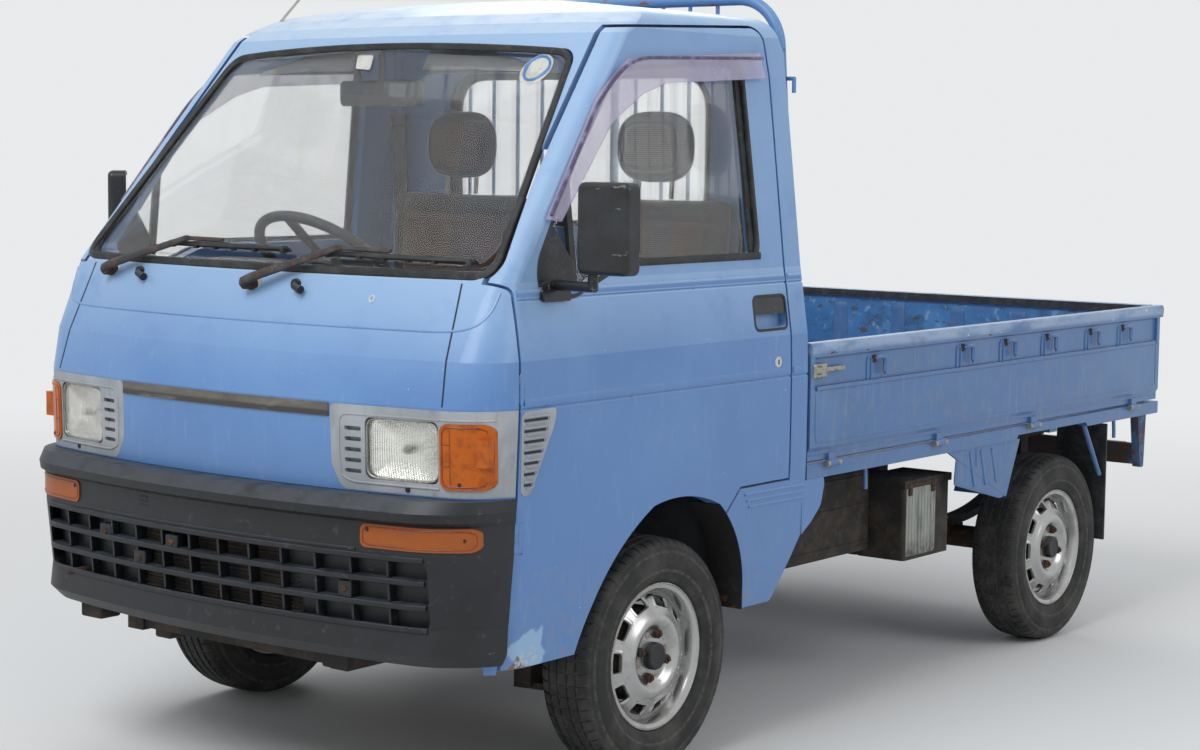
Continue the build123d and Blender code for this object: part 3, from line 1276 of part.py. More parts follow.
def rear_beam():
    """Tapered corner posts and the cross beam that carries the tail lamps."""
    post = rounded([(2378.0, SILL_BOTTOM, 0.0), (2434.0, SILL_BOTTOM, 0.0), (2426.0, 448.0, 6.0),
                    (2404.0, 448.0, 6.0)])
    beam = box(-GUARD_X + 3, GUARD_X - 3, 2402, 2428, 456, RAIL_HIGH - SEAT_GAP)
    for side in (-1, 1):
        x0, x1 = sorted((side * (BED_HALF - SILL_WIDTH + 1), side * (GUARD_X + 2)))
        beam = beam + side_prism(post, x0, x1)
    return beam


def tail_lamps():
    """Rear lamps on the beam."""
    lamp = fillet(box(430, 610, 2428.3, 2472, 456, 514).edges().filter_by(Axis.Y), 8)
    return both_sides(lamp)


def battery_box():
    """The battery case on a tray under the bed's left side."""
    case = fillet(box(498, 640, 1096, 1329, 330, 520).edges().filter_by(Axis.Z), 10)
    lid = box(494, 644, 1092, 1333, 520, 540)
    shelf = box(RAIL_INNER + RAIL_WIDTH + SEAT_GAP, 498, 1180, 1240, 500, 540)
    return case + lid + shelf


def fuel_tank():
    """The fuel tank under the bed's right side."""
    tank = fillet(box(-640, -380, 640, 1120, 300, 480).edges().filter_by(Axis.Y), 30)
    for y in (760, 1000):
        tank = tank + box(-560, -RAIL_INNER - RAIL_WIDTH - SEAT_GAP, y - 20, y + 20, 470, 530)
    return tank


def exhaust():
    """Silencer and pipes on the right of the frame."""
    x = -440.0
    silencer = rod((x, aft(1210), 420), (x, aft(1600), 420), 62)
    points = [(-215.3, aft(300), 330), (-255, aft(300), 330), (-255, aft(400), 262), (-255, aft(1080), 262),
              (x, aft(1220), 420)]
    pipe = tube(points, 36, 17)
    tail = tube([(x, aft(1590), 420), (x, aft(2330), 420), (-500, aft(2395), 400)], 40, 17)
    hanger = box(x - 8, -RAIL_INNER - RAIL_WIDTH - SEAT_GAP, 1300, 1330, 470, 560)
    return silencer + pipe + tail + hanger


def antenna():
    """A thin rod at the roof's right front corner."""
    x, y, z = -535.0, aft(-60.0), 1630.0
    return rod((x, y, z), (x + 5, y + 210, z + 196), 3) - cab_solid(-SEAT_GAP)


def write(shape, node):
    """Save one node's shape."""
    export_step(shape, f"parts/{node}.step")


def main():
    """Build every piece and write one file for each."""
    os.makedirs("parts", exist_ok=True)
    outer = cab_solid(0)
    inner = cab_solid(CAB_WALL)
    room = cab_solid(CAB_WALL + SEAT_GAP)
    garnish = front_garnish()
    glass, rubber = windscreen()
    write(cab_shell(outer, inner, garnish), "cab_shell")
    write(cab_floor(room), "cab_floor")
    write(glass, "windscreen")
    write(rubber, "windscreen_rubber")
    write(rear_window(), "rear_window")
    write(garnish, "front_garnish")
    write(both_sides(lamp_bezel()), "lamp_bezels")
    write(both_sides(cab_skin(3, BEZEL_DEPTH - 6) & lamp_outline(-SEAT_GAP)), "headlamps")
    write(turn_lamps(), "turn_lamps")
    write(front_bumper(), "front_bumper")
    write(wipers(), "wipers")
    write(dashboard(room), "dashboard")
    write(seats(), "seats")
    write(headrests(), "headrests")
    write(sun_visors(room), "sun_visors")
    write(door_hinges(), "door_hinges")
    write(frame_rails(), "frame_rails")
    write(crossmembers(), "crossmembers")
    write(engine_block(), "engine_block")
    write(rear_axle(), "rear_axle")
    write(leaf_springs(), "leaf_springs")
    write(front_suspension(), "front_suspension")
    write(bed_deck(), "bed_deck")
    write(bed_front_board(), "bed_front_board")
    write(guard_frame(), "guard_frame")
    write(gate_hinges(), "gate_hinges")
    write(rear_mudguards(), "rear_mudguards")
    write(mud_flaps(), "mud_flaps")
    write(rear_beam(), "rear_beam")
    write(tail_lamps(), "tail_lamps")
    write(battery_box(), "battery_box")
    write(fuel_tank(), "fuel_tank")
    write(exhaust(), "exhaust")
    write(antenna(), "antenna")
    write(steering_wheel(), "steering_wheel")

    door_parts = {
        "shell": door_shell(outer, inner),
        "glass": door_glass(),
        "visor": door_visor(),
    }
    for name, shape in door_parts.items():
        write(shape, f"door_left_{name}")
        write(right_side(shape), f"door_right_{name}")
    write(door_fittings(0.0), "door_left_fittings")
    write(right_side(door_fittings(MIRROR_FOLD_RIGHT)), "door_right_fittings")

    side_gate = gate_panel(BED_FRONT, GATE_END, GATE_RAIL_END, GATE_HINGES, GATE_HOOKS)
    write(side_gate, "gate_left")
    write(right_side(side_gate), "gate_right")
    tail_gate = gate_panel(-TAILGATE_HALF, TAILGATE_HALF, TAILGATE_HALF, TAILGATE_HINGES, TAILGATE_HOOKS)
    write(to_tail(tail_gate), "tailgate")

    left_knuckle = knuckle()
    write(left_knuckle, "knuckle_left")
    write(right_side(left_knuckle), "knuckle_right")
    rim = wheel_rim()
    ring = tyre()
    for end, place in (("front", 0.0), ("rear", WHEELBASE)):
        for side, name in ((1, "left"), (-1, "right")):
            write(at_wheel(rim, side, place), f"rim_{end}_{name}")
            write(at_wheel(ring, side, place), f"tyre_{end}_{name}")


main()
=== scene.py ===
"""A small cab-over pickup truck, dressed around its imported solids.

The frame is in metres: +Z is up, the truck faces -Y and +X is its left side.
New pieces are worked out in millimetres, with y measured behind the front axle.
"""

import json
import math

import bmesh
import bpy
import numpy as np
from mathutils import Matrix, Vector


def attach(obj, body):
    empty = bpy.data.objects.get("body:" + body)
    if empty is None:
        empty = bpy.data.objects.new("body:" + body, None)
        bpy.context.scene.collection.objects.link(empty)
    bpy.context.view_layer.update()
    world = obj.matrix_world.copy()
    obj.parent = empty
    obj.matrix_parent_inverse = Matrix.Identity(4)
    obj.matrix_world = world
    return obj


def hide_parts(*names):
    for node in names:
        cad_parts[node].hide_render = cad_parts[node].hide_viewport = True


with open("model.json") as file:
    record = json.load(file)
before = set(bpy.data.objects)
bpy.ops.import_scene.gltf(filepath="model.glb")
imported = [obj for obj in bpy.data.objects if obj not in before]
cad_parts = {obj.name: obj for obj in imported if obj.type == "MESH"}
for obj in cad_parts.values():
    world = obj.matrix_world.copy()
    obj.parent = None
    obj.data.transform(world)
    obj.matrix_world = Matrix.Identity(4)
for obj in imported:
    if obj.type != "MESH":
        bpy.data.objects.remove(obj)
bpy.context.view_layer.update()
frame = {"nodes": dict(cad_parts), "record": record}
NODES = frame["nodes"]

MM = 0.001
# The front axle's place in the frame, then the wheels' places: behind it, out from the middle, above the ground
AXLE = -875.5
WHEELBASE, TRACK_HALF, WHEEL_CENTRE = 1900.0, 602.0, 266.0
BACKDROP, BACKDROP_LIGHT, ROOM, ROOM_LIGHT = "#eef0f1", 0.95, "#e8eaec", 0.62
# The floor's half size in millimetres, and where it starts to fade and is gone, in metres
FLOOR_REACH, FADE = 60000.0, (2.6, 7.0)
# Edges that turn by more degrees than this are drawn sharp
SHARP = 38
# The camera's turn, tilt and roll in degrees, its place behind the front axle, and its lens in pixels of the photograph
CAMERA_ANGLES, CAMERA_PLACE = (37.99, 5.60, 0.63), (3.69889, -4.10774, 1.39488)
FOCAL_LENGTH, PHOTO_WIDTH = 2332.78, 1200


# Camera, light and floor


def set_camera():
    """The photograph's view: its place, its three angles and its lens."""
    turn, down, roll = (math.radians(angle) for angle in CAMERA_ANGLES)
    back = Vector((math.sin(turn) * math.cos(down), -math.cos(turn) * math.cos(down), math.sin(down)))
    level_right = (-back).cross(Vector((0, 0, 1))).normalized()
    level_up = level_right.cross(-back)
    right = math.cos(roll) * level_right + math.sin(roll) * level_up
    up = math.cos(roll) * level_up - math.sin(roll) * level_right
    data = bpy.data.cameras.new("photo_camera")
    data.sensor_width = 36.0
    data.lens = FOCAL_LENGTH / PHOTO_WIDTH * data.sensor_width
    camera = bpy.data.objects.new("photo_camera", data)
    bpy.context.scene.collection.objects.link(camera)
    axes = Matrix((right, up, back)).transposed().to_4x4()
    axes.translation = Vector(CAMERA_PLACE) + Vector((0, AXLE * MM, 0))
    camera.matrix_world = axes
    bpy.context.scene.camera = camera


def to_linear(code):
    """An sRGB hex colour as linear red, green, blue and alpha."""
    parts = [int(code[i:i + 2], 16) / 255 for i in (1, 3, 5)]
    return tuple(c / 12.92 if c <= 0.04045 else ((c + 0.055) / 1.055) ** 2.4 for c in parts) + (1.0,)


def add(tree, kind, feeds=None, **settings):
    """One shader node: its settings, and its inputs as values or as sockets to link."""
    made = tree.nodes.new("ShaderNode" + kind)
    for key, value in settings.items():
        setattr(made, key, value)
    for key, value in (feeds or {}).items():
        if isinstance(value, bpy.types.NodeSocket):
            tree.links.new(value, made.inputs[key])
        else:
            made.inputs[key].default_value = value
    return made


def combined(tree, one, two, how="MULTIPLY"):
    """Two values as one: their product, or what the named operation gives."""
    return add(tree, "Math", {0: one, 1: two}, operation=how).outputs[0]


def ramp(tree, value, low, high):
    """A value as 0 at the low end and 1 at the high one, smooth between."""
    feeds = {"Value": value, "From Min": low, "From Max": high}
    return add(tree, "MapRange", feeds, interpolation_type="SMOOTHSTEP").outputs["Result"]


def seen_only(tree):
    """1 for the rays that see the backdrop: from the camera, off gloss and through glass."""
    path = add(tree, "LightPath").outputs
    seen = combined(tree, path["Is Camera Ray"], path["Is Glossy Ray"], "MAXIMUM")
    return combined(tree, seen, path["Is Transmission Ray"], "MAXIMUM")


def set_light():
    """A plain pale room: soft light from all round, one large lamp high on the left and a weaker one behind."""
    world = bpy.data.worlds.new("studio")
    bpy.context.scene.world = world
    world.use_nodes = True
    tree = world.node_tree
    tree.nodes.clear()
    room = add(tree, "Background", {"Color": to_linear(ROOM), "Strength": ROOM_LIGHT})
    backdrop = add(tree, "Background", {"Color": to_linear(BACKDROP), "Strength": BACKDROP_LIGHT})
    mixed = add(tree, "MixShader", {0: seen_only(tree), 1: room.outputs[0], 2: backdrop.outputs[0]})
    add(tree, "OutputWorld", {"Surface": mixed.outputs[0]})
    lamps = [
        ("lamp_key", (0.5, -6.0, 6.5), (0.0, -0.4, 0.7), 4.5, 330.0),
        ("lamp_side", (6.0, 0.5, 4.0), (0.0, 0.2, 0.7), 4.0, 90.0),
        ("lamp_back", (-4.0, 5.5, 5.0), (0.0, 0.5, 0.7), 4.0, 130.0),
    ]
    for name, place, aim, size, power in lamps:
        data = bpy.data.lights.new(name, "AREA")
        data.shape = "DISK"
        data.size = size
        data.energy = power
        lamp = bpy.data.objects.new(name, data)
        lamp.location = place
        lamp.rotation_mode = "QUATERNION"
        lamp.rotation_quaternion = (Vector(aim) - Vector(place)).to_track_quat("-Z", "Y")
        bpy.context.scene.collection.objects.link(lamp)


# Mesh helpers


def grid(points, close_u=False, close_v=False):
    """The quads of a grid of points, going on round to the first row or column where it closes."""
    rows, columns = points.shape[:2]
    u = np.arange(rows if close_u else rows - 1)[:, None]
    v = np.arange(columns if close_v else columns - 1)[None, :]
    after_u, after_v = (u + 1) % rows, (v + 1) % columns
    corners = (u * columns + v, after_u * columns + v, after_u * columns + after_v, u * columns + after_v)
    return points.reshape(-1, 3), np.stack(np.broadcast_arrays(*corners), -1).reshape(-1, 4)


def joined(parts):
    """Several sets of points and faces as one."""
    points, faces, start = [], [], 0
    for some, corners in parts:
        points.append(some)
        faces.append(corners + start)
        start += len(some)
    return np.concatenate(points), np.concatenate(faces)


def mirrored(part):
    """A part on the truck's other side: x changes its sign."""
    return part[0] * (-1, 1, 1), part[1][:, ::-1]


def profile_ring(width, height, count=12, power=2.0):
    """A closed ring of half sizes w and h: x = w cos^(2/p), y = h sin^(2/p), with the signs kept."""
    turn = np.arange(count) / count * 2 * math.pi + math.pi / count
    across, along = np.cos(turn), np.sin(turn)
    share = 2.0 / power
    return np.stack([np.sign(across) * np.abs(across) ** share * width / 2,
                     np.sign(along) * np.abs(along) ** share * height / 2], -1)


def sweep(path, ring, up=(0.0, 0.0, 1.0), closed=False, taper=None):
    """A ring carried along a path.

    At each point the ring's first coordinate goes along tangent x up, and its
    second along that side x tangent. An open path is closed at both ends.
    """
    path = np.asarray(path, float)
    ahead = np.roll(path, -1, 0) - np.roll(path, 1, 0) if closed else np.gradient(path, axis=0)
    ahead /= np.linalg.norm(ahead, axis=1, keepdims=True)
    side = np.cross(ahead, np.broadcast_to(np.asarray(up, float), path.shape))
    side /= np.linalg.norm(side, axis=1, keepdims=True)
    lift = np.cross(side, ahead)
    size = np.ones(len(path)) if taper is None else np.asarray(taper, float)
    ring = ring[None] * size[:, None, None]
    points = path[:, None] + ring[..., :1] * side[:, None] + ring[..., 1:] * lift[:, None]
    if not closed:
        ends = np.broadcast_to(path[[0, -1]][:, None], (2,) + points.shape[1:])
        points = np.concatenate([ends[:1], points, ends[1:]])
    return grid(points, close_u=closed, close_v=True)


def turned(profile, centre=(0.0, 0.0, 0.0), count=48, axis=0, closed=False):
    """A profile of (along, radius) turned round an axis through the centre."""
    profile = np.asarray(profile, float)
    turn = np.arange(count) / count * 2 * math.pi
    along = np.broadcast_to(profile[:, 0], (count, len(profile)))
    points = np.stack([along, profile[:, 1] * np.cos(turn)[:, None], profile[:, 1] * np.sin(turn)[:, None]], -1)
    return grid(np.roll(points, axis, -1) + np.asarray(centre, float), close_u=True, close_v=closed)


def block(low, high, radius, steps=3):
    """A block with round edges: each point of a full block moves to its nearest point of a core plus the radius."""
    low, high = np.asarray(low, float), np.asarray(high, float)
    middle, half = (low + high) / 2, (high - low) / 2
    core = half - radius
    lines = [np.concatenate([-np.linspace(h, c, steps), np.linspace(c, h, steps)]) for h, c in zip(half, core)]
    parts = []
    for axis in range(3):
        one, two = (axis + 1) % 3, (axis + 2) % 3
        a, b = np.meshgrid(lines[one], lines[two], indexing="ij")
        for sign in (-1, 1):
            full = np.zeros(a.shape + (3,))
            full[..., one], full[..., two], full[..., axis] = a, b, sign * half[axis]
            nearest = np.clip(full, -core, core)
            away = full - nearest
            away /= np.linalg.norm(away, axis=-1, keepdims=True)
            parts.append(grid(nearest + radius * away + middle))
    return joined(parts)


def round_path(corners, radius, closed=False):
    """A run through corners with each one replaced by a smooth curve: (1-t)^2 a + 2t(1-t) corner + t^2 b."""
    corners = np.asarray(corners, float)
    count = len(corners)
    out = []
    for i in range(count):
        if not closed and i in (0, count - 1):
            out.append(corners[i][None])
            continue
        here = corners[i]
        before, after = corners[i - 1] - here, corners[(i + 1) % count] - here
        reach = min(radius, 0.49 * np.linalg.norm(before), 0.49 * np.linalg.norm(after))
        start = here + before / np.linalg.norm(before) * reach
        end = here + after / np.linalg.norm(after) * reach
        t = np.linspace(0, 1, 6)[:, None]
        out.append((1 - t) ** 2 * start + 2 * t * (1 - t) * here + t ** 2 * end)
    return np.concatenate(out)


def fine(path, step, closed=False):
    """A path with points added so that they lie no further apart than the step, in equal shares of its length."""
    path = np.asarray(path, float)
    if closed:
        path = np.concatenate([path, path[:1]])
    run = np.concatenate([[0], np.cumsum(np.linalg.norm(np.diff(path, axis=0), axis=1))])
    at = np.linspace(0, run[-1], int(run[-1] / step) + 2)
    made = np.stack([np.interp(at, run, path[:, i]) for i in range(path.shape[1])], -1)
    return made[:-1] if closed else made


def rod(path, size, count=12, **more):
    """A round rod along a path."""
    return sweep(path, profile_ring(size, size, count), **more)


def mesh_of(name, part, wear=None):
    """Points and faces as a mesh in metres, doubles merged, normals outwards."""
    mesh = bpy.data.meshes.new(name)
    mesh.from_pydata((part[0] * MM).tolist(), [], part[1].tolist())
    if wear is not None:
        mesh.attributes.new("wear", "FLOAT", "POINT").data.foreach_set("value", np.asarray(wear, float).ravel())
    form = bmesh.new()
    form.from_mesh(mesh)
    bmesh.ops.remove_doubles(form, verts=form.verts, dist=2e-6)
    bmesh.ops.recalc_face_normals(form, faces=form.faces)
    form.to_mesh(mesh)
    form.free()
    return mesh


def make(name, part, finish, body="truck", replaced=(), wall=None, wear=None, stage=False):
    """A finished piece, of one part or a list of parts, riding on its body."""
    points, faces = joined(part) if isinstance(part, list) else part
    mesh = mesh_of(name, (points + (0, AXLE, 0), faces), wear)
    mesh.materials.append(FINISHES[finish])
    made = bpy.data.objects.new(name, mesh)
    bpy.context.scene.collection.objects.link(made)
    if wall:
        sheet = made.modifiers.new("wall", "SOLIDIFY")
        sheet.thickness = wall * MM
        sheet.offset = -1.0
    if stage:
        return made
    mesh.polygons.foreach_set("use_smooth", np.full(len(mesh.polygons), True))
    mesh.set_sharp_from_angle(angle=math.radians(SHARP))
    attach(made, body)
    if replaced:
        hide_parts(*replaced)
    return made


def pair(name, part, finish, bodies=("truck", "truck"), **more):
    """A piece on each side of the truck."""
    part = joined(part) if isinstance(part, list) else part
    for word, body, shape in (("left", bodies[0], part), ("right", bodies[1], mirrored(part))):
        make(f"{name}_{word}", shape, finish, body, **more)


# Finishes


# A noise drawn the same all ways; ridges that stand, and ridges that lie
EVEN, LEVEL, LAID = (1.0, 1.0, 1.0), (0.0, 0.0, 0.0), (0.0, math.radians(90.0), 0.0)
# The cosine between a rounded and a true normal where an edge's wear starts, and where it is full
EDGE_WEAR = (0.995, 0.90)
# How far apart, in millimetres, the ridges of a wave texture lie at scale 1
WAVE = 314.16


def over(colour, amount, noise=None, rough=None, metal=None, alpha=None, **where):
    """A layer over a finish: colour, amount, noise as (size, low, high, stretch), what it sets, where it lies."""
    sets = {"Roughness": rough, "Metallic": metal, "Alpha": alpha}
    return to_linear(colour), {key: value for key, value in sets.items() if value is not None}, (amount, noise), where


def mask_of(tree, place, amount, noise, along=None, up=None, edge=None, spot=None, wear=None):
    """Where a layer of a finish lies: the product of each pattern that it names, times its amount."""
    found = []
    if noise:
        size, low, high, stretch = (*noise, EVEN)[:4]
        spread = add(tree, "Mapping", {"Vector": place, "Scale": stretch}).outputs[0]
        cloud = add(tree, "TexNoise", {"Vector": spread, "Scale": 1000 / size, "Detail": 6.0, "Roughness": 0.62})
        found.append(ramp(tree, cloud.outputs["Fac"], low, high))
    if along:
        axis, low, high = along
        measure = add(tree, "SeparateXYZ", {0: place}).outputs["XYZ".index(axis)]
        found.append(ramp(tree, measure, low * MM, high * MM))
    if up:
        normal = add(tree, "NewGeometry").outputs["Normal"]
        found.append(ramp(tree, add(tree, "SeparateXYZ", {0: normal}).outputs[2], *up))
    if edge:
        soft = add(tree, "Bevel", {"Radius": edge * MM}, samples=4)
        flat = add(tree, "NewGeometry")
        turn = add(tree, "VectorMath", {0: soft.outputs[0], 1: flat.outputs["Normal"]}, operation="DOT_PRODUCT")
        found.append(ramp(tree, turn.outputs["Value"], *EDGE_WEAR))
    if spot:
        x, y, z, radius = spot
        wobble = add(tree, "TexNoise", {"Vector": place, "Scale": 28.0, "Detail": 4.0}).outputs["Color"]
        pushed = add(tree, "VectorMath", {0: wobble, 1: (0.5, 0.5, 0.5)}, operation="SUBTRACT").outputs[0]
        pushed = add(tree, "VectorMath", {0: pushed, "Scale": radius * MM * 1.6}, operation="SCALE").outputs[0]
        moved = add(tree, "VectorMath", {0: place, 1: pushed}, operation="ADD").outputs[0]
        centre = (x * MM, (y + AXLE) * MM, z * MM)
        reach = add(tree, "VectorMath", {0: moved, 1: centre}, operation="DISTANCE").outputs["Value"]
        found.append(ramp(tree, reach, radius * MM, radius * 0.75 * MM))
    if wear:
        found.append(ramp(tree, add(tree, "Attribute", attribute_name="wear").outputs["Fac"], *wear))
    mask = found[0]
    for other in found[1:]:
        mask = combined(tree, mask, other)
    return combined(tree, mask, amount)


def finish(name, colour, rough, layers=(), bumps=(), **constants):
    """A finish: a base colour and roughness, layers over it where their masks say, and its relief."""
    made = bpy.data.materials.new(name)
    made.use_nodes = True
    tree = made.node_tree
    tree.nodes.clear()
    place = add(tree, "TexCoord").outputs["Object"]
    feeds = {"Base Color": to_linear(colour), "Roughness": rough}
    feeds.update({key.replace("_", " "): value for key, value in constants.items()})
    for tone, sets, pattern, where in layers:
        mask = mask_of(tree, place, *pattern, **where)
        mixed = add(tree, "Mix", {0: mask, 6: feeds["Base Color"], 7: tone}, data_type="RGBA")
        feeds["Base Color"] = mixed.outputs[2]
        for key, value in sets.items():
            mixed = add(tree, "Mix", {0: mask, 2: feeds.get(key, 0.0), 3: value}, data_type="FLOAT")
            feeds[key] = mixed.outputs[0]
    for bump in bumps:
        kind, size, height, turn = (*bump, LEVEL)[:4]
        spread = add(tree, "Mapping", {"Vector": place, "Rotation": turn}).outputs[0]
        if kind == "grain":
            relief = add(tree, "TexNoise", {"Vector": spread, "Scale": 1000 / size, "Detail": 3.0}).outputs["Fac"]
        elif kind == "ridges":
            relief = add(tree, "TexWave", {"Vector": spread, "Scale": WAVE / size}).outputs["Fac"]
        else:
            relief = add(tree, "TexVoronoi", {"Vector": spread, "Scale": 1000 / size}).outputs["Distance"]
        shape = {"Height": relief, "Distance": height * MM, "Strength": 1.0}
        if "Normal" in feeds:
            shape["Normal"] = feeds["Normal"]
        feeds["Normal"] = add(tree, "Bump", shape).outputs[0]
    skin = add(tree, "BsdfPrincipled", feeds)
    add(tree, "OutputMaterial", {"Surface": skin.outputs[0]})
    return made


RUST = "#6a3f26"
ORANGE_RUST = "#8f5a34"
DUST = "#8d8a80"

# Oxidised enamel: large clouds of chalk, streaks below edges, small chips, rust only where water stands. The paler blue
# towards the top and on upward faces is partly chalk and partly painted sky light and highlight
CHALK_AND_SKY_SHEEN = [
    # Paler towards the top: partly sun fading, partly painted sky light
    over("#76a0cf", 0.45, (620, 0.36, 0.66), rough=0.42, along=("Z", 420, 1050)),
    over("#4b76a8", 0.26, (380, 0.5, 0.74)),
    # Pale sky blue on the gently sloping faces high on the cab: painted sky reflection over some chalk
    over("#a3c1e0", 0.62, (140, 0.1, 0.5), rough=0.5, up=(0.02, 0.2), along=("Z", 860, 1150)),
    # Pale on upward faces, such as the tops of the ledges: painted highlight over some chalk
    over("#a3c1e0", 0.7, (140, 0.1, 0.5), rough=0.5, up=(0.5, 0.8)),
    # Near white on the roof and other faces that look straight up: chalk and painted sky light
    over("#dde6ee", 0.62, (70, 0.2, 0.6), rough=0.7, up=(0.75, 1)),
    over("#8fa9c4", 0.22, (16, 0.56, 0.74, (1, 1, 0.16))),
    over(DUST, 0.3, (34, 0.4, 0.7), rough=0.8, along=("Z", 620, 330)),
    over("#c3d2e4", 0.8, (9, 0.7, 0.74, (1, 0.35, 1))),
    over(RUST, 0.9, (26, 0.6, 0.66), rough=0.9, edge=3),
    over(ORANGE_RUST, 0.85, (11, 0.735, 0.76), rough=0.9),
]
# The patch of paler touch-up paint with rust at its rim, low on the door's front corner
PATCH = [
    over("#93b4d6", 0.9, rough=0.7, spot=(690, -478, 352, 58)),
    over("#7a5a44", 0.95, (14, 0.42, 0.55), rough=0.9, spot=(690, -500, 330, 34)),
    over("#b9bcb4", 0.9, (12, 0.52, 0.58), rough=0.9, spot=(690, -478, 345, 30)),
]
WORN_BED_AND_RAIL_SHEEN = [
    over("#6488b4", 0.45, (460, 0.4, 0.66), rough=0.48),
    over("#426790", 0.35, (240, 0.45, 0.7, (1, 0.5, 1))),
    over(DUST, 0.26, (46, 0.46, 0.72), rough=0.85),
    over("#8fa6c4", 0.2, (18, 0.54, 0.74, (1, 1, 0.1))),
    over("#aebdd0", 0.55, (30, 0.36, 0.62), rough=0.8, up=(0.5, 0.98)),
    over(RUST, 0.95, (20, 0.555, 0.62, (1, 0.4, 1)), rough=0.92, edge=2.5),
    # Paler along the top rail: painted highlight
    over("#a9bdd4", 0.6, (60, 0.3, 0.6, (1, 0.3, 1)), along=("Z", 900, 915)),
    over("#d5dbe0", 0.9, (15, 0.66, 0.69, (1, 0.3, 1)), rough=0.8, along=("Z", 900, 908)),
    over("#33251f", 0.9, (16, 0.655, 0.685, (1, 0.28, 1.4)), rough=0.9, along=("Z", 895, 905)),
    over(ORANGE_RUST, 0.9, (13, 0.695, 0.725, (1, 0.5, 1)), rough=0.92),
]

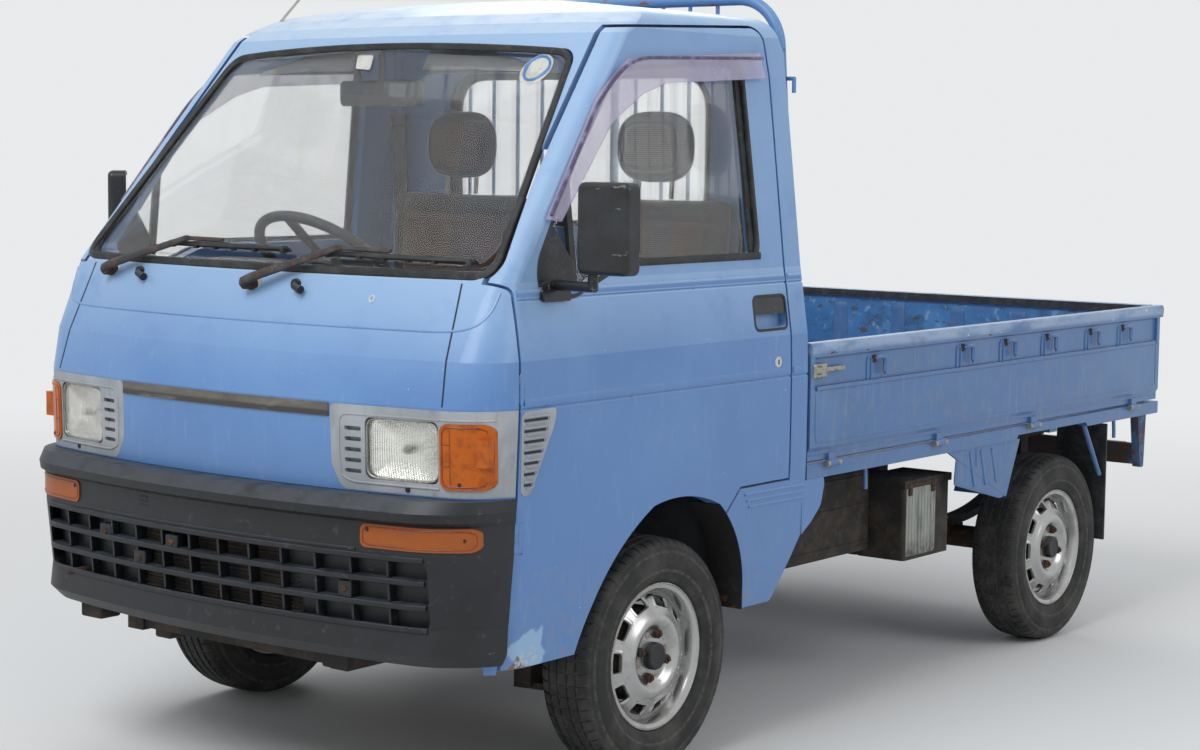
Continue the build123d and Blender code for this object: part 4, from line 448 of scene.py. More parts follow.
FINISHES = {
    # Sprayed enamel, sun-faded: an even blue with a chalky bloom on the upward faces, which is also painted sky light
    # and highlight
    "paint_blue": finish("faded_enamel_sky_sheen", "#547fb9", 0.30, CHALK_AND_SKY_SHEEN, [("grain", 2.2, 0.012)], Coat_Weight=0.25,
                         Coat_Roughness=0.22),
    "paint_blue_door": finish("faded_enamel_door_sky_sheen", "#547fb9", 0.30, CHALK_AND_SKY_SHEEN + PATCH, [("grain", 2.2, 0.012)],
                              Coat_Weight=0.25, Coat_Roughness=0.22),
    # The same enamel where loads rub it: duller, streaked, rusty along its edges, with a painted highlight along its
    # top rail
    "paint_blue_bed": finish("worn_bed_enamel_rail_sheen", "#436da3", 0.34, WORN_BED_AND_RAIL_SHEEN, [("grain", 7, 0.10)], Coat_Weight=0.2,
                              Coat_Roughness=0.2),
    # The bed's inner faces: brighter enamel under rust runs and pale scrapes
    "bed_inside": finish("rubbed_bed_enamel", "#4579ae", 0.42, [
        over("#5f96cc", 0.6, (160, 0.42, 0.66, (1, 0.4, 1))),
        over("#35597c", 0.7, (90, 0.5, 0.64, (1, 0.3, 1.6)), rough=0.7),
        over("#93b3cf", 0.6, (40, 0.56, 0.64, (1, 0.1, 1)), rough=0.8),
        over("#5a4838", 0.85, (34, 0.6, 0.66, (1, 0.12, 1.6)), rough=0.92),
        over(ORANGE_RUST, 0.8, (16, 0.66, 0.7, (1, 1, 0.2)), rough=0.92),
    ], [("grain", 6, 0.2)]),
    # Enamel of the guard frame, blistered with rust on its top bar
    "guard_enamel": finish("blistered_frame_enamel", "#5b86b8", 0.4, [
        over("#86a8cc", 0.6, (60, 0.3, 0.6), up=(0.2, 0.9)),
        over(ORANGE_RUST, 0.95, (34, 0.57, 0.62, (0.4, 1, 1)), rough=0.95, along=("Z", 1690, 1720)),
        over(RUST, 0.9, (20, 0.66, 0.7), rough=0.95),
    ], [("grain", 5, 0.12)]),
    # Enamel that rust has half taken, on the rear beam's posts
    "rusty_bed": finish("rusted_enamel_beam", "#4a678c", 0.6, [
        over("#33404f", 0.8, (60, 0.42, 0.6), rough=0.85),
        over("#4b3a2e", 0.9, rough=0.95, along=("X", 660, 640)),
        over(RUST, 0.9, (28, 0.54, 0.62), rough=0.95),
    ], [("grain", 6, 0.4)]),
    # Brushed black paint that flakes off the wiper arms and hinges
    "paint_black": finish("flaking_black_paint", "#232326", 0.5, [
        over(RUST, 0.9, (9, 0.56, 0.6), rough=0.95),
        over("#5a5654", 0.5, (30, 0.45, 0.7)),
    ], [("grain", 5, 0.12)]),
    # Frame paint under years of road film
    "underbody": finish("dirty_chassis_paint", "#232120", 0.82, [
        over("#4a4038", 0.8, (60, 0.42, 0.66), rough=0.95),
        over("#54392a", 0.6, (24, 0.58, 0.7), rough=0.95),
        over("#6f675c", 0.35, (14, 0.42, 0.66), up=(0.4, 0.95)),
    ], [("grain", 9, 0.4)]),
    # Cast and pressed iron with brown scale
    "rust_iron": finish("scaled_iron", "#3b2c23", 0.9, [
        over("#7a4a2c", 0.7, (22, 0.5, 0.68)),
        over("#2a2522", 0.7, (50, 0.5, 0.66)),
    ], [("grain", 5, 0.35)]),
    # Float glass, clear, with a faint film
    "glass_clear": finish("window_glass", "#eef4f2", 0.0, Transmission_Weight=1.0, IOR=1.45, Alpha=0.15,
                          Specular_IOR_Level=0.25),
    # Pressed lens glass: upright flutes 5 mm apart
    "glass_lamp": finish("fluted_lens_glass", "#f3f5f2", 0.05, bumps=[("ridges", 6, 0.7), ("ridges", 22, 0.5, LAID)],
                         Transmission_Weight=1.0, IOR=1.45, Alpha=0.55),
    # Vacuum-plated reflector, slightly clouded
    "reflector": finish("plated_reflector", "#f2f1ec", 0.2, [
        over("#cfccc4", 0.5, (24, 0.46, 0.68), rough=0.35),
    ], [("cells", 14, 0.5)], Metallic=1.0),
    # Amber acrylic, fluted inside; the bumper's pair has faded to brown
    "amber": finish("amber_acrylic", "#c15f0c", 0.24, [
        over("#93460a", 0.6, (26, 0.47, 0.62)),
        over("#9c5524", 0.85, rough=0.42, along=("Z", 680, 660)),
        over("#8a6a4a", 0.25, (12, 0.54, 0.74), rough=0.5),
    ], [("ridges", 5, 0.12), ("ridges", 5, 0.10, LAID)], Transmission_Weight=0.1, Specular_IOR_Level=0.3),
    "amber_deep": finish("amber_inner_wall", "#8a3608", 0.32, [
        over("#652806", 0.7, (9, 0.46, 0.6))], [("ridges", 4, 0.2)]),
    # Red acrylic of the tail lamps with a prism pattern
    "red_lens": finish("red_acrylic", "#9a1712", 0.22, [
        over("#5e0f0d", 0.6, (30, 0.46, 0.64)),
        over(DUST, 0.3, (10, 0.5, 0.7), rough=0.6),
    ], [("ridges", 4, 0.12), ("ridges", 4, 0.12, LAID)], Transmission_Weight=0.2),
    # Polypropylene of the bezels, bleached by the sun
    "grey_plastic": finish("bleached_grey_plastic", "#93999f", 0.54, [
        over("#b1b6bb", 0.6, (110, 0.38, 0.68), rough=0.66),
        over("#62666a", 0.35, (18, 0.52, 0.74, (1, 1, 0.3))),
        over("#a6acb1", 0.5, (30, 0.35, 0.6), edge=2),
    ], [("grain", 1.6, 0.05)]),
    # Moulded bumper plastic, once black, with pale scuffs and a grey bloom on top
    "black_plastic": finish("scuffed_black_plastic", "#0b0e13", 0.46, [
        over("#1c2129", 0.7, (150, 0.38, 0.7), rough=0.58),
        over("#565d68", 0.55, (60, 0.2, 0.6), rough=0.62, up=(0.25, 0.95)),
        over("#7b8088", 0.5, (9, 0.68, 0.74, (0.25, 0.25, 1)), rough=0.8),
        over("#5f5d58", 0.3, (22, 0.58, 0.74), rough=0.8),
    ], [("grain", 1.8, 0.08)]),
    # The mirrors' gloss black shell, scored by branches
    "mirror_black": finish("scratched_gloss_plastic", "#17191c", 0.34, [
        over("#2d3136", 0.6, (80, 0.42, 0.68), rough=0.48),
        over("#8b8d8d", 0.6, (12, 0.65, 0.69, (0.2, 1, 0.8)), rough=0.8),
        over("#b4b4b0", 0.8, (18, 0.56, 0.62), rough=0.8, edge=1.8),
    ], [("grain", 1.8, 0.04)]),
    # The strip between the bezels: black gloss gone brown, its upper part paler as a painted highlight
    "garnish": finish("browned_black_strip_highlit", "#3b3835", 0.5, [
        # Paler above about 848 mm: painted highlight
        over("#69635c", 0.8, (120, 0.2, 0.5), along=("Z", 845, 851)),
        over("#857f78", 0.5, (24, 0.52, 0.68, (0.2, 1, 1)), rough=0.7),
    ], [("grain", 2, 0.05)]),
    # Smoked acrylic rain visor, gone violet in the sun
    "smoke_plastic": finish("violet_smoked_acrylic", "#b4abd2", 0.2, [
        over("#d6d2e0", 0.7, (260, 0.26, 0.62), rough=0.3),
        over("#57489a", 0.9, alpha=0.85, edge=3),
        over("#dcd8e4", 0.4, (10, 0.66, 0.74, (1, 0.3, 1))),
    ], Alpha=0.42, Coat_Weight=0.6, Coat_Roughness=0.1),
    "visor_dark": finish("dark_smoked_acrylic", "#4b3f66", 0.3, [
        over("#9b93b0", 0.6, (30, 0.46, 0.66), rough=0.5)]),
    # Window rubber, grey at its skin
    "rubber": finish("weathered_rubber", "#1f2022", 0.62, [
        over("#45474a", 0.6, (40, 0.42, 0.68), rough=0.8),
        over("#5d5a54", 0.35, (10, 0.55, 0.7), rough=0.9),
    ], [("grain", 2, 0.06)]),
    # Tyre rubber with road dust in its grooves
    "tyre": finish("dusty_tyre_rubber", "#1b1c1d", 0.76, [
        over("#4b4a47", 0.7, (70, 0.4, 0.7), rough=0.9),
        over("#6c675e", 0.75, (12, 0.34, 0.6), rough=0.95, wear=(0.3, 1)),
    ], [("grain", 3, 0.12)]),
    # Silver-painted wheel steel: rust stains below the nuts and at the rim's edge
    "rim_cream": finish("aged_wheel_paint", "#b2b2b1", 0.25, [
        over("#77756f", 0.4, (60, 0.46, 0.7), rough=0.4),
        over("#7d5a3c", 0.8, (10, 0.42, 0.58), rough=0.85, metal=0, wear=(0.35, 0.95)),
        over(RUST, 0.8, (8, 0.68, 0.71), rough=0.9, metal=0),
    ], [("grain", 4, 0.03)], Metallic=0.88),
    # Zinc-plated steel, dull
    "steel": finish("dull_zinc_steel", "#a3a29c", 0.42, [
        over("#77736a", 0.6, (14, 0.45, 0.66), rough=0.6),
        over(RUST, 0.8, (8, 0.6, 0.66), rough=0.9, metal=0),
    ], [("grain", 3, 0.06)], Metallic=0.85),
    # Plain-weave seat cloth, brown-grey, threads drawn at 4 mm so that they show
    "fabric_grey": finish("seat_cloth", "#57413a", 0.92, [
        over("#7c6255", 0.55, (4, 0.42, 0.6, (0.2, 0.2, 1))),
        over("#3d3638", 0.5, (60, 0.45, 0.65)),
        over("#33302f", 0.85, rough=0.6, wear=(0.4, 0.6)),
    ], [("ridges", 5, 0.5, LAID), ("ridges", 4, 0.3)], Sheen_Weight=0.15, Sheen_Roughness=0.5),
    # Polyester webbing, ribs drawn 3 mm apart
    "belt_web": finish("belt_webbing", "#26262a", 0.8, [
        over("#44424a", 0.6, (5, 0.44, 0.62, (1, 1, 0.3))),
    ], [("ridges", 3, 0.3)], Sheen_Weight=0.2),
    # Hardboard and vinyl trim round the rear window
    "trim_brown": finish("brown_trim_vinyl", "#3a302d", 0.7, [
        over("#57463f", 0.6, (120, 0.4, 0.66))], [("cells", 3, 0.15)]),
    # Grained ABS and vinyl inside the cab
    "lining": finish("grained_lining", "#4a4d52", 0.66, [
        over("#62656a", 0.5, (80, 0.42, 0.66), rough=0.75),
        over("#7d7a72", 0.25, (16, 0.4, 0.66), up=(0.4, 0.95)),
    ], [("cells", 2.6, 0.12)]),
    # The battery's white case under road dirt that runs down it
    "battery_white": finish("dirty_white_case", "#989b96", 0.62, [
        over("#5c5b54", 0.7, (34, 0.42, 0.66, (1, 1, 0.3)), rough=0.85),
        over("#3f3c36", 0.7, (20, 0.3, 0.6), along=("Z", 400, 340)),
    ], [("grain", 4, 0.1)]),
    # Matt white print and paper
    "label": finish("aged_white_label", "#c9cac4", 0.6, [
        over("#a8a79c", 0.6, (26, 0.44, 0.66)),
        over("#8f7a60", 0.4, (9, 0.6, 0.68)),
    ]),
    "label_blue": finish("blue_print", "#3f78b4", 0.5, [over("#6f9ac4", 0.6, (9, 0.44, 0.6))]),
    # Painted shadow in the gaps between panels, in slots and in holes; also the dials' dark faces
    "shadow_gap": finish("gap_shadow_and_dark_dials", "#1b2531", 0.8, [over("#33404f", 0.5, (30, 0.45, 0.65))]),
    # Tar-sprayed liner of the wheel arch
    "arch_tar": finish("tarred_arch_liner", "#141416", 0.85, [
        over("#2d2925", 0.6, (40, 0.4, 0.66), along=("Z", 560, 380)),
        over("#6a4328", 0.7, (14, 0.5, 0.62), along=("Z", 400, 340)),
    ], [("grain", 4, 0.3)]),
    # Bare mirror glass
    "mirror": finish("mirror_glass", "#c6cccf", 0.04, [over("#9a9d9c", 0.3, (30, 0.5, 0.7), rough=0.12)], Metallic=1.0),
    "pale_floor": finish("pale_floor", "#e3e4e4", 0.9, Specular_IOR_Level=0.1),
}
SLOTS = {row["node"]: row["material_slot"] for row in frame["record"]["subparts"]}
OWN_FINISH = {"door_left_shell": "paint_blue_door", "front_garnish": "garnish", "door_left_fittings": "mirror_black",
              "door_right_fittings": "mirror_black", "door_hinges": "paint_blue", "battery_box": "underbody",
              "rear_beam": "rusty_bed", "guard_frame": "guard_enamel"}
for node_name, node in NODES.items():
    node.data.materials.clear()
    node.data.materials.append(FINISHES[OWN_FINISH.get(node_name, SLOTS[node_name])])


def set_floor():
    """A pale floor that keeps the shadow and fades into the backdrop."""
    corners = np.array([[(x, y, 0) for x in (-FLOOR_REACH, FLOOR_REACH)] for y in (-FLOOR_REACH, FLOOR_REACH)])
    make("floor", grid(corners), "pale_floor", stage=True)
    tree = FINISHES["pale_floor"].node_tree
    place = next(node for node in tree.nodes if node.type == "TEX_COORD").outputs["Object"]
    away = add(tree, "VectorMath", {0: place}, operation="LENGTH").outputs["Value"]
    share = combined(tree, ramp(tree, away, *FADE), seen_only(tree))
    glow = add(tree, "Emission", {"Color": to_linear(BACKDROP), "Strength": BACKDROP_LIGHT})
    out = next(node for node in tree.nodes if node.type == "OUTPUT_MATERIAL")
    skin = out.inputs["Surface"].links[0].from_socket
    mixed = add(tree, "MixShader", {0: share, 1: skin, 2: glow.outputs[0]})
    tree.links.new(mixed.outputs[0], out.inputs["Surface"])


set_camera()
set_light()
set_floor()


# The cab's and the bumper's own surfaces

# Height, half width, nose ahead of the axle, corner radius
CAB = np.array([
    (260, 676, 640, 120), (430, 688, 680, 125), (672, 695, 690, 130), (686, 695, 700, 130), (868, 695, 705, 130),
    (960, 692, 680, 102), (1082, 674, 625, 66), (1118, 668, 609, 46), (1414, 634, 356, 42), (1640, 607, 160, 42),
    (1665, 604, 118, 62), (1690, 600, 58, 90), (1712, 598, -20, 120), (1744, 594, -250, 150),
], float)
BUMPER = np.array([
    (340, 684, 718, 190), (366, 689, 745, 190), (420, 691, 738, 195), (566, 696, 750, 190), (632, 696, 748, 185),
    (642, 697.5, 769, 200), (660, 697.5, 772, 200), (684, 696, 752, 180),
], float)
BOW = 2900.0


def plan_at(rows, z):
    """The level section at a height: its half width, bow centre, corner centre and corner radius."""
    half, nose, corner = (np.interp(z, rows[:, 0], rows[:, i]) for i in (1, 2, 3))
    bow_centre = BOW - nose
    corner_x = half - corner
    corner_y = bow_centre - np.sqrt((BOW - corner) ** 2 - corner_x ** 2)
    return half, bow_centre, corner_x, corner_y, corner


def front_at(rows, x, z, proud=0.0):
    """Points on the front at given x and z: on the bow between the corners, and on the corner's arc beyond them."""
    x, z = np.broadcast_arrays(np.asarray(x, float), np.asarray(z, float))
    half, bow_centre, corner_x, corner_y, corner = plan_at(rows, z)
    reach = np.minimum(np.abs(x), half)
    on_bow = bow_centre - np.sqrt(BOW ** 2 - reach ** 2)
    past = np.clip(reach - corner_x, 0, corner)
    on_corner = corner_y - np.sqrt(corner ** 2 - past ** 2)
    y = np.where(reach > corner_x * BOW / (BOW - corner), on_corner, on_bow)
    return np.stack([x, y - proud, z], -1)


def side_at(y, z, proud=0.0):
    """Points on the cab's left side at given y and z, with the corner's arc ahead of the flat part."""
    y, z = np.broadcast_arrays(np.asarray(y, float), np.asarray(z, float))
    half, _, corner_x, corner_y, corner = plan_at(CAB, z)
    past = np.clip(corner_y - y, 0, corner)
    return np.stack([corner_x + np.sqrt(corner ** 2 - past ** 2) + proud, y, z], -1)


# Wheels, made about their hubs

# The tyre's half profile: across, radius, groove depth, depth of the cross cuts
TREAD = [
    (0, 265.6, 0, 1.5), (9.5, 265.5, 0, 1.5), (10.5, 265.4, 5, 0), (15.5, 265.3, 5, 0), (16.5, 265.2, 0, 2.5),
    (24, 265, 0, 0), (32.5, 264.7, 0, 2.5), (33.5, 264.6, 5, 0), (38.5, 264.3, 5, 0), (39.5, 264.2, 0, 0),
    (43, 263.8, 0, 3.5), (48, 263.2, 0, 4.5), (53, 261.6, 0, 4.5), (57, 259.4, 0, 4), (60.5, 256.3, 0, 3),
    (63, 252.5, 0, 1.5), (64.2, 249.5, 0.6, 0), (65.4, 247, 0, 0), (67, 240, 0, 0), (67.4, 238, 0.9, 0),
    (68.2, 233, 0.9, 0), (68.9, 231, 0, 0), (70.6, 222, 0, 0), (71.6, 214, 0, 0), (71.9, 207, 0, 0),
    (71, 199, 0, 0), (70.4, 197, 1, 0), (69, 192, 1, 0), (68.6, 190, 0, 0), (66, 184, 0, 0), (63, 178, 0, 0),
    (60.8, 173, -0.8, 0), (58.5, 169, 0, 0), (53, 167, 0, 0), (50, 158, 0, 0), (48.5, 153, 0, 0), (20, 152.4, 0, 0),
]
BLOCKS = 60
# The disc's profile: radius, and how far out it lies there
DISC_R = [19, 40, 54, 60, 66, 72, 78, 84, 90, 96, 104, 112, 122, 132, 140, 148, 151]
DISC_X = [41, 40, 40, 41, 46, 51, 54.5, 55, 52.5, 48.5, 44.5, 41, 35.5, 28, 20, 17.5, 20]
# Its slots: how many, the rings that hold them, their middle, half their width and half their height
SLOTS_ROUND, SLOT_LOW, SLOT_HIGH, SLOT_R, SLOT_WIDE, SLOT_TALL = 10, 106.0, 139.0, 122.0, 23.5, 13.5
HUB_RINGS = [19, 30, 40, 50, *range(54, 97, 3), 101, SLOT_LOW]
# Profiles of (across, radius)
BARREL = [(57, 163), (56.6, 165.2), (55, 166), (52.6, 165.6), (51.4, 162), (50.6, 156), (48.5, 152.6), (40, 151.6),
          (27, 150.5), (21, 147), (15, 139.5), (11, 137), (-20, 137), (-30, 150), (-48, 152), (-51, 160), (-53, 166),
          (-57, 165), (-57, 161), (-54, 160), (-51, 148), (-30, 146), (-20, 133), (11, 133), (18, 141), (26, 146.4),
          (46, 148.4), (52.4, 153), (54.6, 161.4)]
DRUM = [(36, 19), (36, 56), (27, 62), (27, 98), (22, 106), (10, 108), (-47, 108), (-47, 60), (-47, 19)]
CAP = [(38, 0), (38, 31), (56, 31), (60, 29.5), (61.6, 26.5), (61.6, 22), (60.8, 20), (61.2, 8), (61.4, 0)]
NUT = np.array([(40, 0), (40, 1.28), (42.5, 1.25), (43.5, 1), (53, 1), (54.6, 0.86), (54.6, 0.5), (59.5, 0.48),
                (60, 0.4), (60, 0)])
NUT_FLAT, NUT_ROUND, NUT_CIRCLE = 9.6, 10.9, 50.0


def around(x, radius, turn):
    """Points at x and a radius, turned from upright: (x, r sin, r cos)."""
    return np.stack(np.broadcast_arrays(x, radius * np.sin(turn), radius * np.cos(turn)), -1)


def tyre_part():
    """A tyre: its half profile mirrored, turned in steps that follow the shoulder cuts, less grooves and cuts."""
    table = np.array(TREAD, float)
    across = np.concatenate([table[::-1, 0], -table[1:, 0]])
    radius, groove, cuts = (np.concatenate([table[::-1, i], table[1:, i]]) for i in (1, 2, 3))
    within = np.array([0.0, 0.03, 0.13, 0.16, 0.40, 0.60, 0.82])
    turn = ((np.arange(BLOCKS)[:, None] + within) / BLOCKS * 2 * math.pi).ravel()
    cut = np.tile([0.0, 1.0, 1.0, 0.0, 0.0, 0.0, 0.0], BLOCKS)
    slope = np.sqrt(np.gradient(radius) ** 2 + np.gradient(across) ** 2)
    depth = groove + cut[:, None] * cuts
    x = across - depth * np.abs(np.gradient(radius)) / slope * np.sign(across)
    r = radius - depth * np.abs(np.gradient(across)) / slope
    lean = turn[:, None] + 0.012 * np.clip((np.abs(across) - 40) / 20, 0, 1)
    wear = np.clip(depth / 3, 0, 1) + 0.35 * (np.abs(across) > 60)
    return grid(around(x, r, lean), close_u=True, close_v=True), wear


def disc_part():
    """The pressed disc: rings of one profile inside and outside ten sectors, each ringed round its rounded slot."""
    half_turn = math.pi / SLOTS_ROUND
    steps = np.linspace(-half_turn, half_turn, 11)
    rises = np.linspace(SLOT_LOW, SLOT_HIGH, 7)[1:-1]
    edge_turn = np.concatenate([steps, np.full(5, half_turn), steps[::-1], np.full(5, -half_turn)])
    edge_r = np.concatenate([np.full(11, SLOT_LOW), rises, np.full(11, SLOT_HIGH), rises[::-1]])
    aim = np.arctan2((edge_r - SLOT_R) / SLOT_TALL, edge_turn * SLOT_R / SLOT_WIDE)
    hole_u, hole_r = (np.sign(wave) * np.abs(wave) ** 0.55 for wave in (np.cos(aim), np.sin(aim)))
    hole_r = SLOT_R + hole_r * SLOT_TALL
    hole_turn = hole_u * SLOT_WIDE * (1 - 0.006 * (hole_r - SLOT_R)) / SLOT_R
    share = np.array([0.0, 0.04, 0.14, 0.28, 0.42, 0.7, 1.0])[:, None]
    lip = np.array([-5.0, -1.0, 1.2, 1.2, 0.0, 0.0, 0.0])[:, None]
    turn = hole_turn + (edge_turn - hole_turn) * share
    radius = hole_r + (edge_r - hole_r) * share
    x = np.interp(radius, DISC_R, DISC_X) + lip
    parts = [grid(around(x, radius, turn + (2 * i + 1) * half_turn), close_v=True) for i in range(SLOTS_ROUND)]
    full = np.arange(SLOTS_ROUND * 10)[:, None] / (SLOTS_ROUND * 10) * 2 * math.pi
    for rings in (HUB_RINGS, [SLOT_HIGH, 142, 145, 148, 151]):
        rings = np.array(rings, float)
        parts.append(grid(around(np.interp(rings, DISC_R, DISC_X), rings, full), close_u=True))
    return joined(parts)


def nut_part(spot):
    """A hexagonal nut on its rounded base: flat / cos of the turn within a sixth, no further out than round."""
    angle = np.arange(24)[:, None] * math.pi / 12
    ring = np.minimum(NUT_FLAT / np.cos(angle % (math.pi / 3) - math.pi / 6), NUT_ROUND)
    return grid(around(NUT[:, 0], ring * NUT[:, 1], angle) + around(0, NUT_CIRCLE, spot), close_u=True)


tyre, tyre_wear = tyre_part()
barrel = turned(BARREL, count=96, closed=True)
disc = disc_part()
reach = np.hypot(disc[0][:, 1], disc[0][:, 2])
near_nut = np.abs(np.cos(2 * np.arctan2(disc[0][:, 1], disc[0][:, 2]) + 0.6))
stain = np.clip(1 - np.abs(reach - NUT_CIRCLE) / 20, 0, 1) * near_nut + 0.8 * np.clip((reach - 136) / 12, 0, 1)
stem = rod([(22, 0, 132), (30, 0, 134), (40, 0, 137), (44, 0, 138)], 7, 10, up=(0, 1, 0), taper=[1.1, 1.0, 0.9, 0.7])
# Name, part, finish, the node that it takes the place of, and more
WHEEL = [
    ("tread_tyre", tyre, "tyre", "tyre", {"wear": tyre_wear}),
    ("wheel_barrel", barrel, "rim_cream", "rim",
     {"wear": np.clip((np.hypot(barrel[0][:, 1], barrel[0][:, 2]) - 158) / 8, 0, 1)}),
    ("wheel_disc", disc, "rim_cream", None, {"wall": 3.2, "wear": stain}),
    ("brake_drum", turned(DRUM, count=64, closed=True), "underbody", None, {}),
    ("wheel_nuts", joined([nut_part(i * math.pi / 2 + 0.3) for i in range(4)]), "rust_iron", None, {}),
    ("hub_cap", turned(CAP), "black_plastic", None, {}),
    ("tyre_valve", stem, "rubber", None, {}),
]
for end, place in (("front", 0.0), ("rear", WHEELBASE)):
    for side, word in ((1, "left"), (-1, "right")):
        for name, part, tone, node, more in WHEEL:
            points = part[0] * (side, 1, 1) + (side * TRACK_HALF, place, WHEEL_CENTRE)
            make(f"{name}_{end}_{word}", (points, part[1][:, ::side]), tone, f"wheel_{end}_{word}",
                 [f"{node}_{end}_{word}"] if node else (), **more)


# Headlamps

LAMP_X, LAMP_Z, LAMP_WIDE, LAMP_TALL = 496.0, 776.5, 171.0, 124.0
edge = profile_ring(LAMP_WIDE, LAMP_TALL, 56, 7.0)
share = np.linspace(0, 1, 14)[:, None]
# The lens: rings from its centre to its edge, a little flatter than the nose, bulging as 1 - s^2
lens = front_at(CAB, LAMP_X + share * edge[:, 0], LAMP_Z + share * edge[:, 1])
flat = lens[-1:, :, 1] * share + lens[:1, :, 1] * (1 - share)
lens[..., 1] = lens[..., 1] * 0.4 + flat * 0.6 - 7.0 * (1 - share ** 2) + 3.0
rim = lens[-1]
share = np.linspace(0, 1, 12)[:, None]
bowl = rim * share[..., None] + lens[:1] * (1 - share[..., None])
bowl[..., 1] = rim[:, 1] * share + rim[:, 1].mean() * (1 - share) + 7 + 19 * (1 - share ** 2)
middle = np.array([LAMP_X, 0, LAMP_Z])
gasket = (rim - middle) * (1.022, 1, 1.03) + middle + (0, 2, 0)
middle[1] = rim[:, 1].mean() + 22
bulb = turned([(0, 0), (0, 9), (-4, 10), (-10, 8), (-15, 5), (-17, 0)], middle, 20, axis=1)
pair("headlamp_lens", [grid(lens, close_v=True), grid(np.stack([rim, rim + (0, 9, 0)]), close_v=True)], "glass_lamp",
     replaced=["headlamps"], wall=2.2)
pair("headlamp_bowl", grid(bowl, close_v=True), "reflector", wall=1.0)
pair("headlamp_edge", sweep(rim + (0, 1, 0), profile_ring(4.5, 5, 8), up=(0, -1, 0), closed=True), "steel")
pair("headlamp_gasket", sweep(gasket, profile_ring(4, 7, 8), up=(0, -1, 0), closed=True), "rubber")
pair("headlamp_bulb", bulb, "steel")


# Pieces laid on the cab's own surfaces

DOORS = ("door_left", "door_right")
GATES = ("gate_left", "gate_right")


def on_nose(x, z, proud=0.0):
    """The cab's front."""
    return front_at(CAB, x, z, proud)


def on_bumper(x, z, proud=0.0):
    """The bumper's front."""
    return front_at(BUMPER, x, z, proud)


def on_screen(x, z, proud=0.0):
    """The windscreen's outer face."""
    return on_nose(x, z, proud - 5.9)


def in_door(depth):
    """The door's side, so much deeper."""
    return lambda y, z, proud=0.0: side_at(y, z, proud - depth)


def on_flat(axis, level, sign=1.0):
    """A flat place across x, given by (y, z), across y, given by (x, z), or across z, given by (y, x)."""
    def place(one, two, proud=0.0):
        """The points there, risen along the axis by so much."""
        rise = level + sign * np.asarray(proud, float)
        return np.stack(np.broadcast_arrays(*((rise, one, two), (one, rise, two), (two, one, rise))[axis]), -1)
    return place


def oblong(x0, x1, z0, z1):
    """The corners of a rectangle."""
    return [(x0, z0), (x1, z0), (x1, z1), (x0, z1)]


def oval(x, z, wide, high, count):
    """A closed ring of points: the centre plus (w cos, h sin)."""
    turn = np.arange(count) / count * 2 * math.pi
    return np.stack([x + wide * np.cos(turn), z + high * np.sin(turn)], -1)


def strip(path, place, width, height, step=12.0, closed=False, power=2.6, sunk=0.0):
    """A narrow band along a path on a surface: an oval ring swept with its second coordinate away from the surface."""
    path = fine(path, step, closed)
    base = place(path[:, 0], path[:, 1], -sunk)
    away = place(path[:, 0], path[:, 1], 1.0 - sunk) - base
    return sweep(base, profile_ring(width, height * 2, 10, power), up=away, closed=closed)


def plate(outline, place, proud=2.0, sink=2.0, radius=6.0, step=9.0):
    """A closed plate on a surface: rings shrink to the outline's middle on its face, and again on its back."""
    edge = fine(round_path(outline, radius, closed=True), step, closed=True)
    share = np.array([0, 0.45, 0.85, 0.975, 1, 1, 0.5, 0])[:, None]
    rise = np.array([proud] * 4 + [proud - min(1.0, proud / 2)] + [-sink] * 3)[:, None]
    shrunk = edge.mean(0) + share[..., None] * (edge - edge.mean(0))
    return grid(place(shrunk[..., 0], shrunk[..., 1], rise), close_v=True)


def taper_rib(middle, half, low, high, place):
    """A pressed rib of a panel, 6 mm narrower on each side at its top."""
    corners = [(middle - half, low), (middle + half, low), (middle + half - 6, high), (middle - half + 6, high)]
    return plate(corners, place, 4, 1, 10)


def screw(centre, away, radius):
    """A pan head with a recess: a dome turned round its own axis."""
    axis = int(np.argmax(np.abs(away)))
    dome = np.array([(-0.5, 0), (-0.5, 1), (0.1, 1), (0.45, 0.7), (0.5, 0.3), (0.25, 0)]) * radius
    return turned(dome * (np.sign(away[axis]), 1), centre, 16, axis)


# Nose: panel seams, the pressed crease, washer nozzles, dark core behind the open grille
# The seams are dark strips: painted shadow in the panel gaps
make("nose_seams", [strip([(side * 566, 1114), (side * 592, 871)], on_nose, 4, 0.9) for side in (-1, 1)], "shadow_gap")
fold = [(540, 1017), (590, 1020), (628, 1032), (646, 1060), (651, 1100)]
crease = [(-x, z) for x, z in fold[::-1]] + [(0, 1017)] + fold
make("nose_crease", strip(round_path(crease, 30), on_nose, 7, 1.3), "paint_blue")
nozzles = []
for x, z in ((-362, 1099), (157, 1094)):
    y = on_nose(x, z)[1]
    nozzles += [rod([(x - 10, y + 4, z + 2), (x + 2, y - 13, z), (x + 20, y - 17, z - 5)], 15, 14),
                rod([(x + 19, y - 17, z - 5), (x + 27, y - 18, z - 7)], 18, 14),
                turned([(3, 0), (3, 14), (-3, 13), (-4, 0)], (x - 6, y, z + 2), 20, axis=1)]
make("washer_nozzles", nozzles, "black_plastic")
make("nose_grommet", strip(oval(363, 1076, 6.5, 6.5, 20), on_nose, 4, 2, step=4, closed=True), "label")
make("grille_core", block((-262, -704, 402), (262, -668, 576), 6), "underbody")
fins = [block((-256, -708.5, z), (256, -702, z + 3), 1.2, 2) for z in range(410, 570, 9)]
make("grille_core_fins", fins, "underbody")
brackets = [(x, on_bumper(x, z)[1] + 1, z) for x, z in ((-341, 527), (-102, 531), (-218, 482), (391, 489))]
plates = [block((x - 19, y, z - 19), (x + 19, y + 25, z + 17), 4) for x, y, z in brackets]
make("grille_brackets", plates, "black_plastic")
